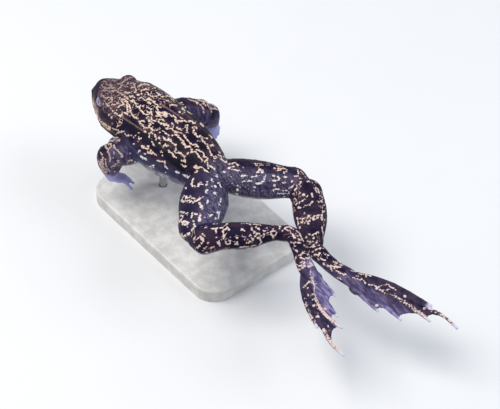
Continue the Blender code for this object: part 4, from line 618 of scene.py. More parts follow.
def trunk_place(points):
    """For points in space: distance in front of the vent, offset to the left of the spine and share
    of the cross-section's radius, 1 on the skin."""
    along = -points[:, 1]
    for _ in range(2):
        middle = trunk_keys(1)(along)
        yaw = trunk_yaw(along)
        offset = (points[:, 0] - middle) * np.cos(yaw) + (points[:, 1] + along) * np.sin(yaw)
        along = -(points[:, 1] - offset * np.sin(yaw))
    half, top, bottom = trunk_keys(2)(along), trunk_keys(3)(along), trunk_keys(4)(along)
    rise = points[:, 2] - SIDE_LEVEL
    height = np.where(rise >= 0, top - SIDE_LEVEL, SIDE_LEVEL - bottom)
    share = (np.abs(offset / half)**2.3 + np.abs(rise / height)**2.3)**(1 / 2.3)
    beyond = (points[:, 1] > -TRUNK_KEYS[0][0]) | (points[:, 1] < -TRUNK_KEYS[-1][0] - 1.0)
    return along, offset, np.where(beyond, 9.0, share)


def head_point(along, side, level):
    """A point of the head by distance in front of the vent, offset from its middle plane and level."""
    at = np.array([along], float)
    yaw = trunk_yaw(at)[0]
    return np.array([trunk_keys(1)(at)[0] + side * math.cos(yaw), -along + side * math.sin(yaw), level])


def head_turn(side, direction):
    """A direction of the left side of the head, for either side, turned with the head."""
    yaw = trunk_yaw(np.array([EYE_ALONG]))[0]
    x, y, z = direction
    turned = np.array([side * x * math.cos(yaw) - y * math.sin(yaw),
                       side * x * math.sin(yaw) + y * math.cos(yaw), z])
    return turned / np.linalg.norm(turned)


def full_turn(count):
    """Angles evenly spaced once round."""
    return np.linspace(0.0, 2.0 * math.pi, count, endpoint=False)


def unit_rows(vectors):
    """Vectors scaled to length one."""
    return vectors / np.linalg.norm(vectors, axis=1)[:, None]


def ring_rows(centres, side, rise, wide, high, sides):
    """An ellipse round each centre: centre + side a cos(t) + rise b sin(t)."""
    angle = full_turn(sides)
    return (centres[:, None] + side[:, None] * (wide[:, None] * np.cos(angle))[..., None]
            + rise[:, None] * (high[:, None] * np.sin(angle))[..., None])


def closed_rings(rings):
    """Vertices and faces of a closed skin over rings of points, with a fan at each end."""
    rings = np.asarray(rings, float)
    count, sides = rings.shape[:2]
    points = np.concatenate([rings.reshape(-1, 3), [rings[0].mean(0)], [rings[-1].mean(0)]])
    row = np.arange(count - 1)[:, None] * sides
    here = np.arange(sides)
    beside = (here + 1) % sides
    quads = np.stack([row + here, row + beside, row + sides + beside, row + sides + here], -1).reshape(-1, 4)
    fans = np.stack([np.full(sides, count * sides), beside, here], -1)
    last = (count - 1) * sides
    ends = np.stack([np.full(sides, count * sides + 1), last + here, last + beside], -1)
    return points, quads.tolist() + fans.tolist() + ends.tolist()


def path_frame(points, at, up):
    """Centres along a smooth path and, at each, the side it turns to and the rise square to both."""
    centres = smooth_curve(path_length(points), points, at)
    forward = unit_rows(np.gradient(centres, axis=0))
    side = unit_rows(np.cross(forward, up))
    return centres, side, np.cross(side, forward)


def tube_rings(points, half_widths, half_heights, rings, sides, up=(0.0, 0.0, 1.0)):
    """Elliptical rings down a smooth path."""
    keys = path_length(points)
    at = np.linspace(0.0, keys[-1], rings)
    centres, side, rise = path_frame(points, at, up)
    wide = smooth_curve(keys, half_widths, at)
    high = smooth_curve(keys, half_heights, at)
    return ring_rows(centres, side, rise, wide, high, sides)


def digit_rings(points, root_radius, tip_radius, joints, rings=60, sides=18):
    """A toe or finger: the radius falls from root to tip as share^0.7, swells a little at each joint
    and at the tip, and ends in a round cap."""
    keys = path_length(points)
    reach = keys[-1]
    cap = np.radians([0.0, 20.0, 40.0, 58.0, 74.0])
    at = np.concatenate([np.linspace(0.0, reach - tip_radius, rings)[:-1],
                         reach - tip_radius * (1.0 - np.sin(cap))])
    share = at / reach
    radii = root_radius + (tip_radius - root_radius) * share**0.7
    for joint in joints:
        radii *= 1.0 + 0.13 * bell((share - joint) * reach, 0.9)
    radii[-len(cap):] = tip_radius * np.cos(cap)
    radii *= 1.0 + 0.10 * bell((share - 1.0) * reach + 0.7, 0.6)
    centres = smooth_curve(keys, points, at)
    forward = unit_rows(np.gradient(centres, at, axis=0))
    side = unit_rows(np.cross(forward, (0.0, 0.0, 1.0)))
    return ring_rows(centres, side, np.cross(side, forward), radii, radii, sides)


def ball(centre, half_sizes, segments=32, rings=18):
    """Ellipsoid: half sizes times (cos u cos v, cos u sin v, sin u)."""
    lift = np.linspace(-1.45, 1.45, rings)[:, None]
    turn = full_turn(segments)[None, :]
    unit = np.stack([np.cos(lift) * np.cos(turn), np.cos(lift) * np.sin(turn),
                     np.sin(lift) + 0.0 * turn], -1)
    return closed_rings(np.asarray(centre) + unit * np.asarray(half_sizes))


def lip_path(rise, count=61):
    """Distance and angle, corner to corner round the snout, of a line above the mouth by rise."""
    turn = np.linspace(-1.0, 1.0, count)
    reach = TRUNK_KEYS[-1][0] - 0.4 - MOUTH_CORNER
    along = MOUTH_CORNER + reach * np.cos(np.abs(turn) * math.pi / 2.0)
    level = mouth_level(along) + rise - SIDE_LEVEL
    height = np.where(level >= 0, trunk_keys(3)(along) - SIDE_LEVEL, SIDE_LEVEL - trunk_keys(4)(along))
    angle = np.arcsin(np.clip(level / height, -0.9, 0.9))
    return along, np.where(turn < 0, angle, math.pi - angle)


def mouth_level(along):
    """Level of the line of the mouth, highest at the snout."""
    share = (along - MOUTH_CORNER) / (TRUNK_KEYS[-1][0] - MOUTH_CORNER)
    return MOUTH_LEVEL_CORNER + (MOUTH_LEVEL_SNOUT - MOUTH_LEVEL_CORNER) * share


def fold_offset(along):
    """Distance of the ridge along the back from the spine."""
    return smooth_curve((8.0, 30.0, 58.0), (5.6, 8.6, 7.4), along)


def fold_tube(side):
    """The ridge along one side of the back, from behind the eye to the hip: a tube that tapers as
    sin(t)^0.5 to both ends and lies sunk in the skin."""
    along = np.linspace(8.0, 58.0, 12)
    angle = np.arccos((fold_offset(along) / trunk_keys(2)(along))**(trunk_keys(5)(along) / 2.0))
    if side < 0:
        angle = math.pi - angle
    line = trunk_point(along, angle, grow=-0.25)
    swell = FOLD_RADIUS * np.sin(np.linspace(0.25, math.pi - 0.25, len(line)))**0.5
    return closed_rings(tube_rings(line, swell, swell, 120, 12))


def web_panel(inner, outer, reach, rows=44, columns=14):
    """Thin sheet between two toes: each row runs straight from toe to toe, the free edge is hollow by
    sin(t), and the sheet hangs a little between the toes in fine pleats that fan out from the root."""
    down = np.linspace(0.0, 1.0, rows)[:, None]
    across = np.linspace(0.0, 1.0, columns)[None, :]
    hollow = 1.0 - WEB_SAG * np.sin(math.pi * across)
    edges = []
    for toe, share in zip((inner, outer), reach):
        keys = path_length(toe)
        at = (down * hollow * share * keys[-1]).ravel()
        edges.append(smooth_curve(keys, toe, at).reshape(rows, columns, 3))
    middle = edges[0] * (1.0 - across[..., None]) + edges[1] * across[..., None]
    pleat = 0.10 * np.sin(across * math.pi * 5.0) * np.sin(math.pi * across)
    middle[..., 2] -= (0.35 * np.sin(math.pi * across) + pleat) * down
    half = np.array([0.0, 0.0, WEB_THICKNESS / 2.0])
    points = np.vstack([(middle + half).reshape(-1, 3), (middle - half).reshape(-1, 3)])
    total = rows * columns
    grid = np.arange(total).reshape(rows, columns)
    a, b, c, d = grid[:-1, :-1], grid[:-1, 1:], grid[1:, 1:], grid[1:, :-1]
    top = np.stack([a, b, c, d], -1).reshape(-1, 4)
    rim = np.concatenate([grid[:, 0], grid[-1, 1:], grid[-2::-1, -1], grid[0, -2:0:-1]])
    ahead = np.roll(rim, -1)
    walls = np.stack([rim, ahead, ahead + total, rim + total], -1)
    return points, top.tolist() + (top[:, ::-1] + total).tolist() + walls.tolist()


def mesh_from(name, parts):
    """One mesh from several closed surfaces in the frog's frame, each turned outwards."""
    places = []
    faces = []
    first = 0
    for points, polygons in parts:
        places.append(to_stand(points))
        faces += [[first + corner for corner in face] for face in polygons]
        first += len(points)
    mesh = bpy.data.meshes.new(name)
    mesh.from_pydata(np.vstack(places).tolist(), [], faces)
    work = bmesh.new()
    work.from_mesh(mesh)
    bmesh.ops.recalc_face_normals(work, faces=work.faces)
    work.to_mesh(mesh)
    work.free()
    return mesh


def link(name, mesh):
    """A new object at the origin that shows a mesh."""
    made = bpy.data.objects.new(name, mesh)
    bpy.context.scene.collection.objects.link(made)
    return made


def bake(target):
    """Replace an object's mesh by its evaluated mesh and drop its modifiers."""
    graph = bpy.context.evaluated_depsgraph_get()
    graph.update()
    done = bpy.data.meshes.new_from_object(target.evaluated_get(graph))
    old = target.data
    target.modifiers.clear()
    target.data = done
    bpy.data.meshes.remove(old)


def read_points(mesh):
    """A mesh's vertices in the frog's frame and its normals, as arrays."""
    count = len(mesh.vertices)
    places = np.empty(count * 3, np.float32)
    normals = np.empty(count * 3, np.float32)
    mesh.vertices.foreach_get("co", places)
    mesh.vertex_normals.foreach_get("vector", normals)
    return from_stand(places.reshape(-1, 3)), normals.reshape(-1, 3).astype(float)


def write_points(mesh, points):
    """Put points of the frog's frame back into a mesh."""
    mesh.vertices.foreach_set("co", to_stand(points).astype(np.float32).ravel())
    mesh.update()


def ease(points, edges, weight, passes):
    """Move each vertex towards the mean of its neighbours, by its weight, several times."""
    count = len(points)
    first, second = edges.T
    near = np.bincount(first, minlength=count) + np.bincount(second, minlength=count)
    for _ in range(passes):
        mean = np.stack([np.bincount(first, points[second, axis], count)
                         + np.bincount(second, points[first, axis], count) for axis in range(3)], 1)
        points = points + (mean / near[:, None] - points) * weight[:, None]
    return points


def body_parts():
    """Trunk with head, limbs, lids, folds, ear rings and lip as overlapping closed surfaces."""
    along = np.linspace(TRUNK_KEYS[0][0], TRUNK_KEYS[-1][0], 150)
    angle = full_turn(96)
    grid = trunk_point(np.repeat(along, len(angle)), np.tile(angle, len(along)))
    parts = [closed_rings(grid.reshape(len(along), len(angle), 3))]
    for name, (points, wide, high) in LIMBS.items():
        parts.append(closed_rings(tube_rings(points, wide, high, 80, 48, limb_up(name))))
    for side in (1, -1):
        lid = EYE_RADIUS + LID_THICKNESS
        parts.append(ball(head_point(EYE_ALONG, side * EYE_SIDE, EYE_LEVEL), (lid, lid + 0.5, lid)))
        parts.append(fold_tube(side))
        ear = head_point(TYMPANUM_ALONG, side * 10.6, TYMPANUM_LEVEL)
        parts.append(ball(ear, (2.6, TYMPANUM_RADIUS + 0.7, TYMPANUM_RADIUS + 0.7)))
    along, angle = lip_path(0.55)
    lip = trunk_point(along, angle, grow=-0.35)
    swell = 0.35 + 0.5 * np.sin(np.linspace(0.0, math.pi, len(lip)))**0.4
    parts.append(closed_rings(tube_rings(lip, swell, swell, 120, 12)))
    return parts


def limb_up(name):
    """The direction that counts as up for a limb: forearms hang down, so theirs is to the left."""
    return (1.0, 0.0, 0.0) if name.startswith("forearm") else (0.0, 0.0, 1.0)


def hand_parts(spec):
    """Palm and four fingers with knobbed joints."""
    palm = np.array(spec["palm"])
    wide = (2.5, 2.5, PALM_HALF_WIDTH, PALM_HALF_WIDTH * 0.8)
    high = (2.1, 1.9, PALM_HALF_HEIGHT, PALM_HALF_HEIGHT * 0.7)
    back = palm[0] - (palm[1] - palm[0]) * 0.8
    parts = [closed_rings(tube_rings(np.vstack([back, palm]), wide, high, 30, 28))]
    spread = np.cross(palm[2] - palm[1], (0.0, 0.0, 1.0))
    spread /= np.linalg.norm(spread)
    order = 1.0 if np.dot(np.array(spec["tips"][-1]) - spec["tips"][0], spread) > 0 else -1.0
    for number, tip in enumerate(spec["tips"]):
        root = palm[1] + spread * order * (number - 1.5) * 1.35
        bend = (root + np.array(tip)) / 2.0 + (0.0, 0.0, 0.9)
        parts.append(closed_rings(digit_rings(
            (root, bend, tip), FINGER_RADIUS, FINGER_TIP_RADIUS, (0.42, 0.72), 40)))
    return parts


def foot_parts(side):
    """Instep, five toes with knobbed joints, the webs between them and the inner tubercle."""
    toes = TOES[side]
    points, wide, high = LIMBS["tarsus_" + side]
    roots = np.array([toe[0] for toe in toes])
    start, middle, end = np.array(points[-3:])
    ahead = end + (roots.mean(0) - end) * 0.5 + (end - middle) * 1.4
    ahead[2] = roots[:, 2].mean() - 0.1
    instep = tube_rings((start, middle, end, ahead), (*wide[-3:], 2.2), (*high[-3:], 0.7), 30, 32)
    parts = [closed_rings(instep)]
    for toe, joints in zip(toes, TOE_JOINTS):
        parts.append(closed_rings(digit_rings(toe, TOE_ROOT_RADIUS, TOE_TIP_RADIUS, joints)))
    for inner, outer, reach in zip(toes[:-1], toes[1:], WEB_REACH):
        parts.append(web_panel(inner, outer, reach))
    parts.append(ball(TUBERCLES[side], (1.0, 2.6, 0.9), 20, 12))
    return parts


def limb_place(points, name):
    """For points near a limb: distance down it, offset round it from its upper edge towards the side
    that its path turns to, and share of its radius, 1 on the skin."""
    path, wide, high = LIMBS[name]
    keys = path_length(path)
    at = np.linspace(0.0, keys[-1], 48)
    centres, side, rise = path_frame(path, at, limb_up(name))
    nearest = np.argmin(((points[:, None] - centres)**2).sum(-1), axis=1)
    away = points - centres[nearest]
    across = (away * side[nearest]).sum(1)
    up = (away * rise[nearest]).sum(1)
    half_wide = np.maximum(smooth_curve(keys, wide, at)[nearest], 1.5)
    half_high = np.maximum(smooth_curve(keys, high, at)[nearest], 1.5)
    angle = np.arctan2(across / half_wide, up / half_high)
    share = np.linalg.norm([across / half_wide, up / half_high], axis=0)
    beyond = np.linalg.norm(away, axis=1) > 2.2 * np.maximum(half_wide, half_high)
    return at[nearest], angle * (half_wide + half_high) / 2.0, np.where(beyond, 9.0, share)


def near_path(points, path, samples=90):
    """Distance of points from a smooth path and the share of its length at the nearest place."""
    keys = path_length(path)
    at = np.linspace(0.0, keys[-1], samples)
    centres = smooth_curve(keys, path, at)
    square = (points**2).sum(1)[:, None] - 2.0 * points @ centres.T + (centres**2).sum(1)
    nearest = np.argmin(square, axis=1)
    gap = np.sqrt(np.maximum(square[np.arange(len(points)), nearest], 0.0))
    return gap, at[nearest] / keys[-1]


def joint_weights(points):
    """1 round the armpits, groin, knees, elbows and heels, falling to 0 at six millimetres."""
    weight = np.zeros(len(points))
    for name, (path, _, _) in LIMBS.items():
        joint = np.array(path[1] if name.startswith(("thigh", "upper")) else path[0])
        reach = 13.0 if name.startswith(("thigh", "upper")) else 6.0
        weight = np.maximum(weight, smooth_step(np.linalg.norm(points - joint, axis=1), reach, reach * 0.55))
    return weight


def eye_directions(side):
    """Centre of an eye, its gaze, and its slit and upright directions, square to the gaze."""
    centre = head_point(EYE_ALONG, side * EYE_SIDE, EYE_LEVEL)
    gaze = head_turn(side, EYE_GAZE)
    slit = np.cross((0.0, 0.0, 1.0), gaze)
    slit /= np.linalg.norm(slit)
    return centre, gaze, slit, np.cross(gaze, slit)


def lid_angle(turn):
    """Half angle of the opening between the lids at a turn round the gaze, 0 along the slit."""
    upright = np.where(np.sin(turn) > 0, LID_RISE, LID_DROP)
    return np.radians(1.0 / np.sqrt((np.cos(turn) / LID_SPREAD)**2 + (np.sin(turn) / upright)**2))


def carve_face(points, normals):
    """The head's fine relief: eye openings, the drums of the ears, nostrils and the mouth's line."""
    along, offset, _ = trunk_place(points)
    shift = np.zeros(len(points))
    face = along > MOUTH_CORNER - 3.0
    rise = points[:, 2] - mouth_level(along)
    groove = smooth_step(along, MOUTH_CORNER - 0.6, MOUTH_CORNER + 0.8) * (np.abs(rise) < 4.0)
    swell = 0.13 * bell(rise - 0.75, 0.45) + 0.06 * bell(rise + 0.65, 0.4)
    shift += groove * (swell - 0.50 * bell(rise, 0.30))
    shift -= 0.35 * bell(along - MOUTH_CORNER + 0.7, 1.0) * bell(rise, 1.0) * (np.abs(offset) > 6.0)
    for side in (1, -1):
        hole = head_point(NOSTRIL_ALONG, side * NOSTRIL_SIDE, NOSTRIL_LEVEL)
        gap = np.linalg.norm(points - hole, axis=1)
        nearest = gap[face].min()
        gap = np.sqrt(np.maximum(gap**2 - nearest**2, 0.0))
        shift += 0.16 * bell(gap - 0.85, 0.35) - 0.75 * bell(gap, 0.42)
    points = points + normals * (shift * face)[:, None]
    for side in (1, -1):
        middle = np.stack([along - TYMPANUM_ALONG, points[:, 2] - TYMPANUM_LEVEL], -1)
        gap = np.linalg.norm(middle, axis=1)
        outward = side * offset
        drum = (outward > 8.0) & (gap < TYMPANUM_RADIUS + 1.5)
        flat = smooth_step(gap, TYMPANUM_RADIUS, TYMPANUM_RADIUS - 0.45)
        level = TYMPANUM_DEPTH + 0.25 * bell(gap, 0.8)
        move = np.where(drum, flat * (level - outward) * (outward > level - 0.6), 0.0)
        move += drum * 0.22 * bell(gap - TYMPANUM_RADIUS - 0.25, 0.35)
        yaw = trunk_yaw(along)
        points = points + (side * move)[:, None] * np.stack([np.cos(yaw), np.sin(yaw), 0.0 * yaw], -1)
        centre, gaze, slit, upright = eye_directions(side)
        away = points - centre
        gap = np.linalg.norm(away, axis=1)
        unit = away / gap[:, None]
        turn = np.arctan2(unit @ upright, unit @ slit)
        lean = np.arccos(np.clip(unit @ gaze, -1.0, 1.0))
        inside = (gap < EYE_RADIUS + 3.0) * smooth_step(lean, lid_angle(turn) + 0.05, lid_angle(turn) - 0.03)
        points = points + unit * (inside * (EYE_RADIUS - 0.45 - gap))[:, None]
    return points


def body_relief(points, normals):
    """Offset along the normal that gives the back its hip and shoulder bones, the muscles their swell
    and the skin its warts."""
    along, offset, share = trunk_place(points)
    trunk = smooth_step(share, 1.22, 1.04) * (normals[:, 2] > 0.0)
    hips = 0.34 * bell(np.abs(offset) - 1.6 - 0.12 * along, 1.0) * smooth_step(along, 1.0, 6.0)
    hips *= smooth_step(along, 25.0, 20.0)
    tail_bone = 0.30 * bell(offset, 1.1) * smooth_step(along, -1.0, 4.0) * smooth_step(along, 19.0, 15.0)
    sacrum = 0.45 * bell(along - 22.0, 2.2) * bell(np.abs(offset) - 3.6, 2.6)
    shoulders = 0.30 * bell(along - 46.0, 4.0) * bell(np.abs(offset) - 4.6, 2.0)
    spine = -0.16 * bell(offset, 1.3) * smooth_step(along, 22.0, 28.0) * smooth_step(along, 56.0, 48.0)
    shift = trunk * (hips + tail_bone + sacrum + shoulders + spine)
    snout = smooth_step(along, 66.0, 72.0) * (share < 1.4)
    shift += 0.10 * lump_field(points, 4.6, 3) * (1.0 - snout)
    wart = smooth_step(lump_field(points, 1.5, 8), 0.42, 0.85) * (normals[:, 2] > -0.4)
    web = smooth_step(points[:, 1], 56.0, 60.0)
    return shift + 0.16 * wart * (1.0 - 0.7 * snout) * (1.0 - web)


def from_picture(lines):
    """Lines read in the picture's steps as millimetres right and up of its middle, to a tenth."""
    across, down = PICTURE_MIDDLE
    return tuple(tuple((round((x - across) * PICTURE_STEP, 1), round((down - y) * PICTURE_STEP, 1))
                       for x, y in line) for line in lines)


def line_gap(first, second, lines):
    """Distance of places in a plane from the nearest of some drawn lines of straight pieces."""
    places = np.stack([first, second], -1)
    nearest = np.full(len(places), 25.0)
    for line in lines:
        for start, end in zip(np.array(line[:-1]), np.array(line[1:])):
            way = end - start
            share = np.clip((places - start) @ way / (way @ way), 0.0, 1.0)
            nearest = np.minimum(nearest, ((places - start - share[:, None] * way)**2).sum(1))
    return np.sqrt(nearest)


def seen(points, normals):
    """Where the camera sees points, right and up of the middle of its view, and 1 where they face it."""
    back = np.array(CAMERA_BACK)
    right = np.cross((0.0, 0.0, 1.0), back)
    right /= np.linalg.norm(right)
    up = np.cross(back, right)
    away = points - np.array(CAMERA_AIM)
    scale = CAMERA_DISTANCE / (CAMERA_DISTANCE - away @ back)
    return away @ right * scale, away @ up * scale, smooth_step(normals @ back, 0.0, 0.25)


def blotch_border(points):
    """Signed distance from the rim of the nearest black blotch, an oval seen from above."""
    black = np.full(len(points), 5.0)
    plan = np.stack([points[:, 0], -points[:, 1]], -1)
    for across, ahead, half_wide, half_long, turn in BLOTCHES:
        away = plan - (across, ahead)
        cosine = math.cos(math.radians(turn))
        sine = math.sin(math.radians(turn))
        long_way = (away[:, 0] * -sine + away[:, 1] * cosine) / half_long
        wide_way = (away[:, 0] * cosine + away[:, 1] * sine) / half_wide
        reach = np.sqrt(long_way**2 + wide_way**2)
        black = np.minimum(black, (reach - 1.0) * half_wide)
    return black


def limb_marks(name, points, at, offset_round, facing, under):
    """Marks of one limb: the density of its worm-like lines, of the fine lines and of pale spots, and
    how lilac and how granular its skin is."""
    none = np.zeros(len(points))
    marks = {"maze": none, "fine": none, "spots": none, "lilac": none, "grain": none}
    left = name.endswith("left")
    outer = offset_round if left else -offset_round
    level = points[:, 2]
    if name.startswith("thigh"):
        rear = smooth_step(outer, 3.2, -3.6) if left else smooth_step(outer, 2.0, -4.2)
        marks["fine"] = 0.34 * facing * smooth_step(outer, 0.0, 3.0)
        marks["spots"] = 0.16 * rear
        marks["lilac"] = 0.26 * rear
        marks["grain"] = smooth_step(outer, 0.6, -4.4) * smooth_step(at, 34.0, 24.0)
    elif name.startswith("shank"):
        marks["maze"] = 0.5 * smooth_step(np.abs(offset_round), 7.0, 9.0)
        marks["fine"] = 0.44 * facing
        marks["spots"] = 0.08
    elif name.startswith("tarsus"):
        marks["fine"] = 0.44 * facing
        marks["spots"] = 0.10
        marks["lilac"] = 0.35 * smooth_step(level, -4.0, -8.0)
    else:
        inward = smooth_step(np.abs(points[:, 0]), 20.5, 17.5) if name.startswith("forearm") else under
        front = smooth_step(outer, -3.6, -1.2)
        marks["maze"] = 0.62 * front * (1.0 - inward) * (1.0 - facing)
        lilac = np.maximum(inward * 0.7, smooth_step(level, -10.0, -15.0))
        lilac = np.maximum(lilac, 0.28 * (1.0 - front))
        marks["lilac"] = np.maximum(lilac, 0.30 * smooth_step(level, -4.0, -7.0))
    return marks


def toe_marks(name, points):
    """Marks of one foot: pale lines down its toes, pale spots, lilac, most on the inner web and toes,
    and pale tips."""
    ways = [near_path(points, toe) for toe in TOES[name]]
    gaps = [gap for gap, _ in ways]
    line = np.full(len(points), 5.0)
    for number, start, end, half_width in TOE_LINES[name]:
        gap, share = ways[number]
        line = np.minimum(line, np.where((share > start) & (share < end), gap - half_width, 5.0))
    tips = np.zeros(len(points))
    for gap, share in ways:
        tips = np.maximum(tips, (gap < 1.3) * smooth_step(share, 0.91, 0.96))
    outer = smooth_step(gaps[1] - gaps[3], -1.5, 2.5)
    inner_web = INNER_WEB_LILAC[name] * (1.0 - outer)
    toe_gap = np.minimum(gaps[0], np.minimum(gaps[1], gaps[2] + 0.3))
    lilac = 0.10 + 0.90 * np.maximum(inner_web, smooth_step(toe_gap, 1.15, 0.6))
    return {"border": 5.0, "drawn": np.maximum(line, 0.0), "maze": 0.0, "fine": 0.0, "grain": 0.0,
            "spots": 0.45 * smooth_step(gaps[3], 1.5, 0.6), "lilac": lilac, "tips": tips}


def face_marks(points, along, side, head, trunk):
    """Marks of the face: the mask through the eye, all that is dark with it and the painted shade
    in the mouth's crease and the nostrils, the ear drum and the pale lip."""
    level = points[:, 2]
    cheek = head * (side > 3.0)
    mask = cheek * smooth_step(level, -0.9, 0.2) * smooth_step(level, 5.6, 4.2)
    mask *= smooth_step(along, 53.0, 56.0)
    mask *= 1.0 - smooth_step(level, 2.5, 5.5) * smooth_step(np.abs(along - EYE_ALONG), 5.0, 3.5)
    snout_tip = trunk * smooth_step(along, 73.5, 76.0) * (level > 0.0)
    rise = level - mouth_level(along)
    lip = head * bell(rise - 1.15, 1.15) * smooth_step(along, 76.0, 70.0)
    # painted shade along the mouth's crease and in the nostrils
    crease_shade = head * bell(rise, 0.34) * smooth_step(along, MOUTH_CORNER - 0.5, MOUTH_CORNER + 0.5)
    for eye_side in (1, -1):
        nostril = head_point(NOSTRIL_ALONG, eye_side * NOSTRIL_SIDE, NOSTRIL_LEVEL)
        crease_shade = np.maximum(crease_shade, bell(np.linalg.norm(points - nostril, axis=1), 0.85))
    drum = cheek * smooth_step(np.hypot(along - TYMPANUM_ALONG, level - TYMPANUM_LEVEL), 2.2, 1.4)
    dark = np.maximum(mask, snout_tip) * (1.0 - 0.75 * drum) * (1.0 - lip)
    return mask, np.maximum(dark, crease_shade), drum, lip


def trunk_share(points, share):
    """1 on the trunk, the head and the lids, falling to 0 off them."""
    trunk = smooth_step(share, 1.20, 1.05)
    for side in (1, -1):
        gap = np.linalg.norm(points - head_point(EYE_ALONG, side * EYE_SIDE, EYE_LEVEL), axis=1)
        trunk = np.maximum(trunk, smooth_step(gap, EYE_RADIUS + 2.5, EYE_RADIUS + 1.5))
    return trunk


def trunk_marks(points, normals, along, offset, trunk, facing):
    """Marks of head, back, flanks and rump. Where the camera sees them, fine lines between the drawn
    ones take the place of the worm-like lines and of the spots."""
    level = points[:, 2]
    side = np.abs(offset)
    fold = fold_offset(along)
    upper = normals[:, 2] > 0.05
    head = trunk * smooth_step(along, 52.0, 60.0)
    back = trunk * smooth_step(side, fold + 1.6, fold - 0.2) * upper
    ridge = trunk * bell(side - fold, 1.0) * smooth_step(along, 9.0, 14.0)
    ridge *= smooth_step(along, 59.0, 54.0) * upper
    flank = trunk * (1.0 - back) * (1.0 - head)
    slate = flank * smooth_step(level, 5.0, 1.5) * smooth_step(along, 50.0, 36.0)
    maze = back * (0.58 + 0.32 * smooth_step(along, 36.0, 46.0))
    maze = np.maximum(maze, head * upper * (1.0 - 0.30 * smooth_step(along, 69.0, 73.5)))
    front = smooth_step(along, 30.0, 44.0)
    maze = np.maximum(maze, flank * (0.34 + 0.30 * front) * smooth_step(level, -3.0, 4.0))
    under = smooth_step(normals[:, 2], -0.12, -0.62)
    under = np.maximum(under, trunk * smooth_step(level, -5.0, -8.0))
    # painted reflection: the underside's pale colours carried up the lower left flank, as the sky's
    # reflection along the body's rim
    rim = smooth_step(level, -0.5, -3.2) * smooth_step(points[:, 0], 4.0, 8.0) * bell(along - 21.0, 10.0)
    shade = trunk * smooth_step(side, fold + 0.4, fold + 1.4) * smooth_step(side, fold + 5.4, fold + 3.6)
    shade *= smooth_step(along, 8.0, 14.0) * smooth_step(along, 53.0, 43.0) * facing
    blotched = (trunk > 0.5) & (smooth_step(normals[:, 2], 0.15, 0.45) > 0.3)
    fine = trunk * facing * back * (0.30 + 0.70 * smooth_step(along, 38.0, 48.0))
    fine = np.maximum(fine, head * facing * smooth_step(level, 2.0, 4.0))
    fine = np.maximum(fine, 0.66 * flank * facing * (offset < 0.0) * smooth_step(along, 12.0, 22.0))
    fine = np.maximum(fine, 0.62 * flank * facing * bell(along - 53.0, 7.0))
    rump = trunk * facing * smooth_step(along, 9.0, 1.0) * smooth_step(points[:, 0], 6.0, 1.0)
    brown = trunk * facing * smooth_step(along, 17.0, 9.0) * smooth_step(points[:, 0], 4.0, -3.0)
    warm = np.maximum(np.maximum(0.9 * head * upper, 0.85 * ridge), 0.55 * brown)
    return {
        "border": np.minimum(np.where(blotched, blotch_border(points), 5.0), 2.0 - 3.2 * shade),
        "maze": maze * (1.0 - 0.7 * ridge) * (1.0 - facing),
        "spots": flank * 0.28 * smooth_step(level, -7.0, -2.0) * (1.0 - facing),
        "under": np.maximum(under, 0.9 * trunk * rim),
        "lilac": 0.26 * rump + 0.09 * slate,
        "grain": 0.85 * rump,
        "warm": warm,
        "slate": slate,
        "fine": fine * (1.0 - smooth_step(along, 16.0, 8.0)),
        # painted shade in the grooves of the rump
        "groove_shade_hand_light": rump,
    }


def merge(marks, mine, new):
    """Put new marks in place of the old ones where a mask holds."""
    for name, values in new.items():
        marks[name] = np.where(mine, values, marks[name])


def add_limbs(marks, points, share, trunk, facing, arm_rings):
    """Give the points nearest to each limb that limb's marks."""
    best = np.where(trunk > 0.5, share, 3.0)
    for name in LIMBS:
        at, offset_round, limb_share = limb_place(points, name)
        mine = (limb_share < best) & (limb_share < 1.7) & (trunk < 0.5)
        best = np.where(mine, limb_share, best)
        new = limb_marks(name, points, at, offset_round, facing, marks["under"])
        new["border"] = 5.0
        new["drawn"] = arm_rings
        if name in LIMB_LINES:
            new["drawn"] = line_gap(at, offset_round, LIMB_LINES[name]) - 0.08 * (name == "thigh_left")
        # painted shade in the grooves of the upper rear thigh
        new["groove_shade_hand_light"] = 0.9 * smooth_step(at, 22.0, 12.0) * new["grain"]
        new["slate"] = 0.35 * facing if name == "thigh_left" else marks["slate"]
        new["under"] = 0.35 * marks["under"] if "arm" in name else marks["under"]
        merge(marks, mine, new)


def add_feet(marks, points, normals):
    """Give the points of each foot its marks and the pale lines drawn on it from above."""
    for name in TOES:
        near = (points[:, 0] > -6.5) & (points[:, 1] > 53.0) if name == "left" else (points[:, 1] > 65.5)
        mine = near & ((points[:, 0] < -8.0) == (name == "right"))
        new = toe_marks(name, points)
        new["drawn"] = np.minimum(marks["drawn"], new["drawn"] + 5.0 * (normals[:, 2] < 0.1))
        merge(marks, mine, new)
    feet = (points[:, 1] > 56.0) & (normals[:, 2] > 0.1)
    foot_gap = line_gap(points[:, 0], points[:, 1], FOOT_LINES) + 0.08
    merge(marks, feet, {"drawn": np.minimum(marks["drawn"], foot_gap)})


